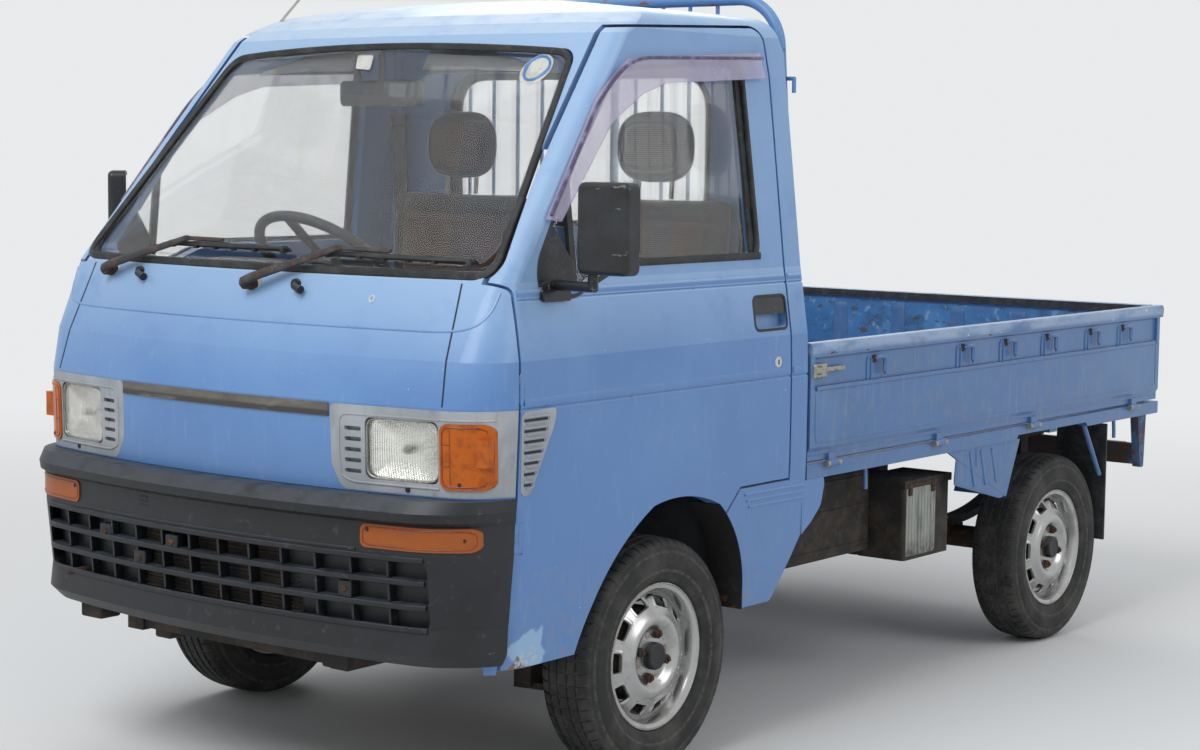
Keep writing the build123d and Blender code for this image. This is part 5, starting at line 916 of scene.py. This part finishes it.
make("grille_bolts", [screw(place, (0, -1, 0), 8) for place in brackets], "rust_iron")
hook = [(-520, -668, 410), (-500, -706, 412), (-440, -650, 428), (-400, -600, 440)]
make("tow_hook", rod(fine(round_path(hook, 22), 8), 13), "rust_iron")
make("tow_brackets", [block((-520, -650, 300), (-448, -590, 352), 6), block((-322, -600, 270), (-270, -540, 300), 6),
                      block((250, -640, 292), (318, -590, 345), 6)], "underbody")
# The vent slots are dark: painted shadow
make("bumper_vent_slots", [plate(oblong(-206, -178, z, z + 4), on_bumper, 0.7, 1, 1, 3) for z in (602, 611, 620)],
     "shadow_gap")
slats = [strip([(-582, z), (582, z)], on_bumper, 12, 5, step=14, power=3.2) for z in (418, 464.7, 515.3, 563)]
make("grille_slats", slats, "black_plastic")
make("bumper_band_edge", strip([(x, 575) for x in np.linspace(-425, 425, 40)], on_bumper, 7, 2.5), "black_plastic")

# Lamps: screws, bezel edges, the corner lamps' inner wall
screws = [screw(place, (0, -1, 0), 4.2) for place in
          (on_nose(628, 716, 4.4), on_bumper(455, 618, 3.2), on_bumper(650, 606, 3.2))]
pair("lamp_screws", screws, "rust_iron")
turn_edge = fine(round_path([(594, 711), (594, 831), (672, 831), (672, 711)], 13, closed=True), 7)
pair("turn_lamp_edge", strip(turn_edge, on_nose, 4, 5.6, closed=True), "amber_deep")
bars = [strip([(611, 716), (611, 826)], on_nose, 3, 5.2)]
bars += [strip([(596, z), (609, z)], on_nose, 2.4, 5) for z in (752, 796)]
pair("turn_lamp_bars", bars, "amber_deep")
low_lamp_edge = fine(round_path([(444, 587), (444, 624), (666, 624), (666, 587)], 12, closed=True), 8)
pair("bumper_lamp_edge", strip(low_lamp_edge, on_bumper, 4, 4.4, closed=True), "amber_deep")
# The screw hole is a dark cup: painted shadow
pair("bezel_screw_hole", turned([(-1, 0), (-1, 6.5), (0.8, 6.5), (0.8, 4.5), (0.2, 0)], on_nose(511, 698), 20, axis=1),
     "shadow_gap")
bowl_edge = fine(round_path([(350, 716), (343, 760), (345, 845), (677.5, 845)], 18), 10)
pair("bezel_inner_edge", strip(bowl_edge, on_nose, 5, 2), "grey_plastic")
low_edge = fine(round_path([(350, 716), (372, 704), (585, 704)], 12), 10)
pair("bezel_lower_edge", strip(low_edge, on_nose, 5, 1.8), "grey_plastic")

# Wipers: arms from rusty bushes, bridges and rubber blades
# Pivot, elbow, tip, and the blade's two ends, as (x, z)
WIPERS = [((24, 1092), (250, 1177), (377, 1174), (201, 1163), (581, 1157)),
          ((-480, 1100), (-221, 1182), (-110, 1181), (-298, 1168), (90, 1167))]
LEAN = (0, -1, 0.6)
BUSH = [(4, 0), (4, 21), (-2, 21), (-4, 15), (-7, 11), (-26, 10), (-30, 7), (-31, 0)]
arms, blades, bushes, collars = [], [], [], []
for pivot, elbow, tip, first, last in WIPERS:
    foot, knee = on_nose(*pivot, 26.0), on_nose(*elbow, 40.0)
    arm = fine(round_path([foot + (-6, 0, 5), foot + (20, 0, 16), knee], 12), 10)
    arms += [sweep(arm, profile_ring(20, 12, 10, 3), up=LEAN, taper=np.linspace(1.15, 0.75, len(arm))),
             sweep(fine([knee, on_nose(*tip, 27.0)], 12), profile_ring(10, 6, 8, 3), up=LEAN),
             block(knee - (9, 6, 6), knee + (9, 4, 6), 4)]
    share = np.linspace(0, 1, 26)
    x, z = (a + (b - a) * share for a, b in zip(first, last))
    blades += [sweep(on_nose(x, z + 3, 17 + 9 * np.sin(share * math.pi)), profile_ring(11, 7, 8, 3), up=LEAN,
                     taper=0.45 + 0.55 * np.sin(share * math.pi)),
               sweep(on_nose(x, z, 9.0), profile_ring(7, 18, 8, 2.5), up=LEAN)]
    for at in (0.03, 0.25, 0.42, 0.58, 0.75, 0.97):
        claw = on_nose(*(a + (b - a) * at for a, b in zip(first, last)), 15.0)
        blades.append(block(claw - (6, 8, 8), claw + (6, 6, 8), 2.5, 2))
    face = on_nose(*pivot)
    bushes.append(turned(BUSH, face, 24, axis=1))
    collars.append(turned([(2, 21.5), (2, 25), (-2, 24), (-3, 21.5)], face, 28, axis=1, closed=True))
make("wiper_arms", arms, "paint_black", replaced=["wipers"])
make("wiper_blades", blades, "rubber")
make("wiper_bushes", bushes, "rust_iron")
make("wiper_collars", collars, "label")

# Blank stickers on the windscreen
make("screen_disc", plate(oval(454, 1559, 36, 34, 32), on_screen, 0.6, 0.1, 1, 7), "label")
make("screen_disc_ring", strip(oval(454, 1559, 28.08, 26.52, 32), on_screen, 12, 1.2, closed=True), "label_blue")
make("screen_label", plate([(-77, 1597), (-58, 1565), (-9, 1562), (-25, 1596)], on_screen, 0.6, 0.1, 3, 8), "label")


def screen_line(inset):
    """The windscreen's outline, drawn in by so much: a trapezium whose top edge rises to its middle."""
    low, high, lean = 1121.0 + inset, 1604.0 - inset, 107.0 / 483.0
    foot, head = 638.0 - inset * (1 + lean), 531.0 - inset * (1 - lean)
    top = [(head * share, high + 20.0 * (1 - share ** 2)) for share in np.linspace(1, -1, 9)]
    return round_path([(-foot, low), (foot, low)] + top, 45 - inset * 0.6, closed=True)


# The windscreen's rubber: a narrow lip, and the glass edge that it holds
lip = strip(screen_line(8), on_nose, 16, 5, closed=True, power=3.2)
make("screen_lip", lip, "rubber", replaced=["windscreen_rubber"])
make("screen_inner_lip", strip(screen_line(12), on_nose, 9, 8, closed=True, sunk=11), "rubber")
make("screen_glass_edge", strip(screen_line(20), on_nose, 10, 2, closed=True, sunk=8.2, power=4), "glass_clear")

# Doors: vents, window rubbers, sail panel, lock, handle, ledges, mirror glass, inner panel
vent = plate([(-516, 858), (-404, 861), (-412, 826), (-490, 686), (-519, 686)], side_at, 2.2, 0.6, 14)
pair("vent_plate", vent, "grey_plastic", DOORS)
lips, slits = [], []
for z, rear in zip(range(838, 705, -22), (-436, -442, -448, -456, -466, -478, -488)):
    lip = round_path([(-511, z + 9), (rear + 8, z + 9), (rear + 5, z - 4), (-504, z - 4)], 6)
    lips.append(strip(lip, side_at, 5, 5.4, step=5))
    slits.append(strip([(-511, z + 2.5), (rear, z + 2.5)], side_at, 8, 2.9, step=8))
pair("vent_lips", lips, "grey_plastic", DOORS)
# The slits between the vent's lips are dark: painted shadow
pair("vent_slits", slits, "shadow_gap", DOORS)
WINDOW = [(372, 1143), (-150, 1143), (-322, 1082), (-431, 1082), (-436, 1150), (-290, 1357), (-112, 1562), (362, 1592)]
window_edge = fine(round_path(WINDOW, 34, closed=True), 16, closed=True)
for name, part in (
    ("rubber", strip(window_edge, in_door(4), 10, 5.6, closed=True, power=4)),
    ("sill_strip", strip([(-150, 1147), (372, 1147)], side_at, 17, 4.5, power=4)),
    ("run_channel", plate([(352, 1150), (372, 1150), (362, 1588), (340, 1588)], in_door(13), 3, 6, 3)),
    ("sail_panel", plate([(-432, 1086), (-326, 1086), (-300, 1140), (-372, 1240), (-432, 1158)], in_door(9), 4, 3, 16)),
    ("front_channel", plate([(-318, 1092), (-300, 1092), (-300, 1345), (-318, 1322)], in_door(11), 5, 5, 3)),
):
    pair(f"window_{name}", part, "rubber", DOORS)
lock = turned([(-2, 0), (-2, 13), (1.4, 13), (2.2, 11), (1.4, 9), (1.4, 3), (2.4, 0)], side_at(414, 899), 24)
pair("door_lock", lock, "label", DOORS)
# The keyway is a dark slot: painted shadow
pair("door_keyway", plate(oblong(412.4, 415.6, 893, 905), side_at, 2.9, 0, 1, 3), "shadow_gap", DOORS)
pocket = round_path(oblong(326, 458, 976, 1054), 16, closed=True)
pair("handle_frame", strip(pocket, side_at, 7, 1.6, step=6, closed=True), "black_plastic", DOORS)
for name, front, rear, step, bodies in (("door", -508, 462, 14, DOORS), ("quarter", 477, 534, 8, ("truck", "truck"))):
    ledges = [strip([(front, z), (rear, z)], side_at, 17, 2.3, step=step, power=2) for z in (876, 1095)]
    pair(f"{name}_ledges", ledges, "paint_blue", bodies)
covers = [plate(oblong(edge, -508.4, z - 32.8, z + 32.8), side_at, 0.3, 2.5, 0.5)
          for z, edge in ((600, -532.16596), (905, -520.4))]
pair("hinge_covers", covers, "paint_blue")
visor = fine(round_path([(428, 1602), (-76, 1586), (-189, 1506), (-392, 1252)], 80), 12)
pair("visor_strip", strip(visor, in_door(-14), 8, 3.5, power=3), "visor_dark", DOORS)
card = plate([(-440, 700), (-330, 560), (240, 700), (440, 700), (440, 1090), (-440, 1060)], in_door(47), 0, 2.5, 30, 22)
pair("door_card", card, "lining", DOORS)
rest = round_path([(-60, 900), (250, 930), (300, 960)], 40)
pair("door_armrest", strip(rest, in_door(52), 52, 12, power=3), "lining", DOORS)
crank = [block((612, -158, 868), (640, -128, 898), 8), block((604, -150, 822), (616, -136, 890), 5),
         turned([(0, 0), (0, 11), (-18, 10), (-22, 6), (-22, 0)], (606, -143, 824), 20)]
pair("window_crank", crank, "black_plastic", DOORS)
MIRROR_FOLD, MIRROR_FOOT = math.radians(42.0), (676.0, -392.0)


def folded(part):
    """Turned back by the fold about the upright axis through the mirror's foot, then set on the right-hand side."""
    x, y = part[0][:, 0] - MIRROR_FOOT[0], part[0][:, 1] - MIRROR_FOOT[1]
    turned_x = MIRROR_FOOT[0] + x * math.cos(MIRROR_FOLD) - y * math.sin(MIRROR_FOLD)
    turned_y = MIRROR_FOOT[1] + x * math.sin(MIRROR_FOLD) + y * math.cos(MIRROR_FOLD)
    return mirrored((np.stack([turned_x, turned_y, part[0][:, 2]], -1), part[1]))


frame_line = round_path(oblong(757, 879, 1141, 1318), 16, closed=True)
for name, part, tone in (
    ("glass", plate(oblong(762, 874, 1146, 1312), on_flat(1, -378.5), 1.4, 1, 14), "mirror"),
    ("frame", strip(frame_line, on_flat(1, -379.5), 6, 2, closed=True), "black_plastic"),
):
    make(f"mirror_{name}_left", part, tone, "door_left")
    make(f"mirror_{name}_right", folded(part), tone, "door_right")

# Quarter: three fine ridges below its seam, a plug, and the dark liner over the cut edge of the front arch
ridges = [strip([(286 + 9 * i, 600 - 15 * i), (535, 597 - 15 * i)], side_at, 6.5, 2.2) for i in range(3)]
pair("quarter_ridges", ridges, "paint_blue")
pair("quarter_plug", screw((668, 600, 520), (1, 0, 0), 4), "rubber")


def arc_through(a, b, c):
    """Points of the circle through three: its centre lies as far from each, and the angle runs from first to last."""
    a, b, c = (np.asarray(point, float) for point in (a, b, c))
    centre = np.linalg.solve(np.array([b - a, c - a]) * 2, [b @ b - a @ a, c @ c - a @ a])
    first, last = (math.atan2(*(point - centre)[::-1]) for point in (a, c))
    angle = np.linspace(first, last, 16)
    return centre + np.linalg.norm(a - centre) * np.stack([np.cos(angle), np.sin(angle)], -1)


arch = np.concatenate([arc_through((190, 590), (262, 500), (285, 380)), [(285, 334)]])
towards = np.array([0.0, WHEEL_CENTRE]) - arch
towards /= np.linalg.norm(towards, axis=1, keepdims=True)
near, far = arch + 0.4 * towards, arch + 2.0 * towards
sheet = np.array([np.column_stack([np.full(len(line), x), line])
                  for x, line in ((600, near), (692, near), (692, far), (600, far))])
middle = np.broadcast_to(sheet.mean(0, keepdims=True), sheet.shape)
pair("arch_liner", grid(np.concatenate([middle[:, :1], sheet, middle[:, -1:]], 1), close_u=True), "arch_tar")

# Drop sides: beads, hook plates, rods and washers, inner skins and ribs, front latch, dark capping on the rail
bead = round_path([(576, 812), (576, 694), (2466, 694), (2466, 812)], 8)
pair("gate_bead", [strip(bead, on_flat(0, 696), 4.5, 1.6, step=20),
                   strip([(580, 823), (2462, 823)], on_flat(0, 694.5), 11, 3.2, step=20, power=2),
                   strip([(554, 917), (2506, 917)], on_flat(0, 696.6), 26, 3.4, step=20, power=2.2),
                   strip([(558, 664), (2484, 664)], on_flat(0, 690), 4, 1.4, step=30)], "paint_blue_bed", GATES)
pads, rods, washers = [], [], []
for y in (879, 1325, 1559, 1799, 2067, 2277):
    loop = round_path([(y - 62, 829), (y - 62, 884), (y - 42, 884), (y - 42, 829)], 11)
    pads.append(strip(loop, on_flat(0, 688), 6, 3.2, step=6))
    bend = [(694, y - 30, 879), (702, y - 26, 883), (703, y + 1, 883), (702, y + 6, 874), (701, y + 6, 838)]
    rods.append(rod(fine(round_path(bend, 7), 4), 9.5, up=(1, 0, 0.01)))
    washers.append(turned([(-2, 0), (-2, 10), (1, 10), (2, 7), (3, 0)], (690, y - 30, 879), 18))
pair("gate_hook_plates", pads, "paint_blue_bed", GATES)
pair("gate_hook_rods", rods, "paint_blue_bed", GATES)
pair("gate_hook_washers", washers, "rust_iron", GATES)
gate_inside, tail_inside, board_face = on_flat(0, 676, -1), on_flat(1, 2492.2, -1), on_flat(1, 572.2)
pair("gate_inner_skin", plate(oblong(600, 2440, 664, 902), gate_inside, 0.9, 0.5, 4, 60), "bed_inside", GATES)
make("tail_inner_skin", plate(oblong(-640, 640, 664, 902), tail_inside, 0.9, 0.5, 4, 60), "bed_inside", "tailgate")
make("board_inner_skin", plate(oblong(-640, 640, 664, 925), board_face, 0.9, 0.5, 4, 60), "bed_inside")
gate_ribs = [taper_rib(y, 30, 690, 890, on_flat(0, 676.2, -1)) for y in range(720, 2460, 250)]
gate_ribs.append(strip([(600, 800), (2450, 800)], gate_inside, 26, 4, step=40))
pair("gate_inner_ribs", gate_ribs, "paint_blue_bed", GATES)
pair("gate_latch", [block((690, 560, 850), (701, 618, 884), 3), block((692, 604, 862), (700, 700, 874), 3),
                    block((698, 566, 860), (703, 590, 876), 2)], "steel", GATES)
pair("gate_latch_hole", plate(oblong(572, 592, 858, 878), on_flat(0, 700.8), 0.7, 0, 2, 4), "rust_iron", GATES)
pair("rail_capping", plate(oblong(556, 2508, 910, 932), on_flat(0, 666.2, -1), 3.2, 0.5, 2, 40), "rubber", GATES)
capping = plate(oblong(-655, 655, 910, 932), on_flat(1, 2482, -1), 3.2, 0.5, 2, 40)
make("rail_capping_tail", capping, "rubber", "tailgate")
bead = round_path([(-636, 812), (-636, 694), (636, 694), (636, 812)], 8)
tail_bead = strip(bead, on_flat(1, 2512), 4.5, 1.6, step=20)
tail_ribs = [taper_rib(x, 30, 690, 890, tail_inside) for x in range(-440, 441, 220)]
make("tailgate_bead", [tail_bead] + tail_ribs, "paint_blue_bed", "tailgate")
make("front_board_ribs", [taper_rib(x, 34, 690, 900, board_face) for x in range(-480, 481, 240)], "paint_blue_bed")

# Below the deck: hooks on the sill, mudguards, deck ribs, battery, splash box, tail lamp panes
sill_hooks = [rod(fine(round_path([(680, y, 607), (682, y, 580), (682, y + 1, 554)], 8), 5), 11, up=(0, 1, 0))
              for y in (832, 1392, 2225)]
pair("sill_hooks", sill_hooks, "paint_blue_bed")
apron = plate([(1290, 605), (1277, 514), (1533, 451), (1562, 456), (1634, 605)], on_flat(0, 681), 2.4, 1, 8, 20)
pair("mudguard_apron", apron, "paint_blue_bed")
pair("mudguard_ribs", [strip([(y, 500), (y - 30, 594)], on_flat(0, 684), 10, 2.5) for y in (1386, 1446, 1506)],
     "paint_blue_bed")
deck = on_flat(2, 650)
make("deck_ribs", [strip([(620, x), (2470, x)], deck, 26, 3.5, step=60, power=3) for x in range(-600, 601, 100)],
     "paint_blue_bed")
case_ribs = [block((639, y, 345), (643.5, y + 7, 515), 2, 2) for y in range(1116, 1246, 16)]
make("battery_case", [block((636, 1106, 339), (641.5, 1251, 520), 3)] + case_ribs, "battery_white")
make("battery_clamp", [block((560, 1100, 520), (646, 1258, 532), 3), block((641, 1112, 500), (647, 1128, 532), 2),
                       block((641, 1228, 500), (647, 1244, 532), 2)], "rust_iron")
splash = [block((506, 598, 352), (542, 1086, 566), 9)]
splash += [block((540, 606, z), (545, 1078, z + 9), 2.4, 2) for z in (372, 470, 545)]
splash += [block((512, y, 560), (536, y + 34, 640), 2, 2) for y in (640, 1010)]
make("splash_box", splash, "underbody")
for x0, x1, tone in ((434, 488, "amber"), (490, 552, "red_lens"), (554, 606, "glass_lamp")):
    pair(f"tail_pane_{tone}", plate(oblong(x0, x1, 460, 510), on_flat(1, 2471.5), 3.5, 1.5, 5, 8), tone)


# Inside the cab

# The left seat's middle; the driver's is at -SEAT
SEAT = 312.0
CUSHION_SEAM, BACK_SEAM, BACK_TOP_SEAM, HEADREST_Z = 172, 168, 1218, 1395
PRESSURE, CLOTH_STEPS = 4.0, 20


def take(pad):
    """The pad's modifiers, put into its mesh."""
    graph = bpy.context.evaluated_depsgraph_get()
    done = bpy.data.meshes.new_from_object(pad.evaluated_get(graph))
    pad.modifiers.clear()
    pad.data = done


def corners_of(mesh):
    """A mesh's points as an array."""
    points = np.zeros(len(mesh.vertices) * 3)
    mesh.vertices.foreach_get("co", points)
    return points.reshape(-1, 3)


def padded_part(part, voxel, cap):
    """A pad in even voxels, blown up by cloth pressure: p goes to p + d min(1, cap / |d|), then one subdivision."""
    pad = bpy.data.objects.new("pad", mesh_of("pad", part))
    bpy.context.scene.collection.objects.link(pad)
    again = pad.modifiers.new("voxels", "REMESH")
    again.mode = "VOXEL"
    again.voxel_size = voxel * MM
    take(pad)
    before = corners_of(pad.data)
    cloth = pad.modifiers.new("cloth", "CLOTH")
    cloth.settings.quality = 5
    cloth.settings.use_pressure = True
    cloth.settings.uniform_pressure_force = PRESSURE
    cloth.settings.effector_weights.gravity = 0.0
    scene = bpy.context.scene
    for step in range(1, CLOTH_STEPS + 1):
        scene.frame_set(step)
    take(pad)
    scene.frame_set(1)
    moved = corners_of(pad.data) - before
    length = np.linalg.norm(moved, axis=1, keepdims=True)
    pad.data.vertices.foreach_set("co", (before + moved * np.minimum(1.0, cap * MM / (length + 1e-9))).ravel())
    finer = pad.modifiers.new("finer", "SUBSURF")
    finer.levels = finer.render_levels = 1
    take(pad)
    points = corners_of(pad.data) / MM
    faces = np.zeros(len(pad.data.loops), int)
    pad.data.loops.foreach_get("vertex_index", faces)
    bpy.data.objects.remove(pad)
    return points, faces.reshape(-1, 4)


def sewn(gaps, depth, width):
    """Seams: how far each point lies in, depth * exp(-(d / width)^2), with d its distance from the nearest line."""
    return depth * np.exp(-(np.min(np.abs(gaps), axis=0) / width) ** 2)


def seat_cushion():
    """The cushion: two seams divide its cloth middle from the vinyl edge, three cross it."""
    points, faces = padded_part(block((SEAT - 231, -57, 658), (SEAT + 231, 357, 752), 30, 5), 11, 12)
    across, y = np.abs(points[:, 0] - SEAT), points[:, 1]
    middle = across < CUSHION_SEAM
    dip = sewn([across - CUSHION_SEAM, y + 12], 7, 8) + sewn([y - at for at in (80, 170, 260)], 5, 9) * middle
    points[:, 2] -= dip * np.clip((points[:, 2] - 725) / 30, 0, 1)
    vinyl = (across > CUSHION_SEAM) | (y < -12) | (points[:, 2] < 700)
    points[:, 2] = np.clip(points[:, 2], 650.6, 764.6)
    return (points, faces), vinyl


def seat_back():
    """The back: it leans with the height, and has the same seams as the cushion, over its front."""
    points, faces = padded_part(block((SEAT - 227, 377, 660), (SEAT + 227, 440, 1280), 26, 5), 12, 12)
    across, z = np.abs(points[:, 0] - SEAT), points[:, 2]
    middle = across < BACK_SEAM
    dip = sewn([across - BACK_SEAM, z - BACK_TOP_SEAM], 7, 8) + sewn([z - at for at in (840, 960, 1090)], 5, 9) * middle
    points[:, 1] += dip * np.clip((405 - points[:, 1]) / 25, 0, 1)
    vinyl = (across > BACK_SEAM) | (z > BACK_TOP_SEAM) | (points[:, 1] > 420)
    points[:, 1] += (z - 650) * 28 / 640
    return (points, faces), vinyl


def seat_headrest():
    """The headrest: a deep cushion with one seam round its front panel."""
    edge = profile_ring(226, 174, 60, 2.9)
    share = np.linspace(0, 1, 12)[:, None]
    bulge = 37 * (1 - share ** 3.4) ** 0.5
    x, z = SEAT + share * edge[:, 0], HEADREST_Z + share * edge[:, 1]
    halves = [grid(on_flat(1, 438)(x, z, sign * bulge), close_v=True) for sign in (-1, 1)]
    points, faces = padded_part(joined(halves), 6, 9)
    panel = ((np.abs(points[:, 0] - SEAT) / 80) ** 4 + (np.abs(points[:, 2] - HEADREST_Z) / 56) ** 4) ** 0.25
    points[:, 1] += sewn([(panel - 1) * 66], 6, 6) * np.clip((425 - points[:, 1]) / 14, 0, 1)
    return (points, faces), (panel > 1) | (points[:, 1] > 430)


for name, shape, node in (("seat_cushion", seat_cushion, "seats"), ("seat_back", seat_back, "seats"),
                          ("headrest", seat_headrest, "headrests")):
    part, vinyl = shape()
    for word, shift in (("left", 0.0), ("right", -2 * SEAT)):
        piece = make(f"{name}_{word}", (part[0] + (shift, 0, 0), part[1]), "fabric_grey", replaced=[node], wear=vinyl)
posts = [rod([(x, 436, 1270), (x, 440, 1335)], 12, 14)
         for x in (SEAT - 50, SEAT + 50, -SEAT - 50, -SEAT + 50)]
make("headrest_posts", posts, "steel")
make("seat_rails", [block((x - 12, -40, 640), (x + 12, 340, 652), 3, 2) for x in (-482, -142, 142, 482)], "steel")

# Dashboard before the right-hand seat: binnacle with two dials, vents, glovebox lid, heater levers, column stalks
DIALS, DIAL_Z = ((-SEAT - 48, 40), (-SEAT + 46, 36)), 1084
turn = np.linspace(0.0, math.pi, 30)
across = np.sign(np.cos(turn)) * np.abs(np.cos(turn)) ** 0.4
HOOD = ((-372, 0.86), (-366, 0.98), (-300, 1.0), (-262, 0.96), (-262, 0.84), (-300, 0.86), (-360, 0.84))
hood = [on_flat(1, y)(158 * size * across - SEAT, 1055 + 72 * size * np.sin(turn) ** 0.7) for y, size in HOOD]
make("dash_hood", grid(np.array(hood), close_u=True), "lining")
make("dash_dials", [turned([(0, 0), (0, r), (5, r + 4), (9, r + 4), (9, 0)], (x, -318, DIAL_Z), 40, axis=1)
                    for x, r in DIALS], "shadow_gap")
ticks = []
for x, r in DIALS:
    for lean in np.linspace(-2.2, 2.2, 12):
        a, b = x + (r - 6) * math.sin(lean), DIAL_Z + (r - 6) * math.cos(lean)
        ticks.append(block((a - 1.4, -316.5, b - 1.4), (a + 1.4, -315, b + 1.4), 0.5, 2))
    ticks.append(block((x - 1.2, -316, DIAL_Z), (x + 1.2, -314, DIAL_Z + r - 12), 0.6, 2))
make("dash_ticks", ticks, "label")
vents = []
for x in (-560, -60, 60, 560):
    vents.append(strip(oblong(x - 52, x + 52, 1014, 1046), on_flat(1, -266), 5, 4, closed=True))
    vents += [block((x - 50, -272, z), (x + 50, -262, z + 2.6), 1, 2) for z in (1018, 1025, 1032, 1039)]
make("dash_vents", vents, "black_plastic")
make("glovebox_lid", plate(oblong(130, 520, 880, 985), on_flat(1, -284), 14, 4, 16), "lining")
knobs = [block((x, -274, 968), (x + 12, -262, 984), 3, 2) for x in range(-96, 7, 34)]
make("dash_controls", [block((-118, -300, 905), (96, -272, 995), 8)] + knobs
     + [block((-86, -276, 918), (66, -268, 952), 2, 2)], "black_plastic")
stalks = [rod([(side * 30 - 345, -110, 1030), (side * 120 - SEAT, -128, 1062), (side * 168 - SEAT, -124, 1070)], 11, 10,
              taper=[0.8, 0.8, 1.4]) for side in (-1, 1)]
make("column_stalks", stalks, "black_plastic")
PEDALS = (-420, -320, -235)
make("pedals", [block((x - 28, -470, 470), (x + 28, -455, 520), 5, 2) for x in PEDALS]
     + [block((x - 5, -480, 500), (x + 5, -466, 640), 2, 2) for x in PEDALS], "rubber")
make("gear_lever", [rod(fine([(0, 20, 600), (0, -10, 760), (0, -20, 830)], 20), 11, 10, up=(0, 1, 0)),
                    turned([(-16, 0), (-14, 14), (0, 19), (14, 18), (22, 10), (24, 0)], (0, -21, 842), 24, axis=2)],
     "black_plastic")
window = fine(round_path(oblong(-392, 392, 1208, 1562), 80, closed=True), 14, closed=True)
wall = fine(round_path([(-588, 1100), (588, 1100), (556, 1612), (-556, 1612)], 60, closed=True), 14, closed=True)
share, wall_share = (np.arange(len(run)) / len(run) for run in (window, wall))
wall = np.stack([np.interp(share, wall_share, wall[:, i], period=1.0) for i in (0, 1)], -1)
trim = [on_flat(1, depth)(*ring.T) for ring, depth in (
    (window, 531), (window + 0.03 * (wall - window), 527), (wall, 527), (wall, 533), (window, 533))]
make("rear_window_trim", grid(np.array(trim), close_u=True, close_v=True), "trim_brown")
belts = []
for side in (-1, 1):
    web = fine([(side * 562, 470, 1450), (side * 556, 474, 1100), (side * 560, 470, 720)], 30)
    belts += [sweep(web, profile_ring(46, 3, 10, 4), up=(0, -1, 0)),
              block((side * 565 - 26, 462, 1440), (side * 565 + 26, 480, 1476), 6),
              block((side * 568 - 40, 452, 660), (side * 568 + 40, 490, 740), 8)]
make("seat_belts", belts, "belt_web")


# Colour view

bpy.context.scene.view_settings.view_transform = "Standard"
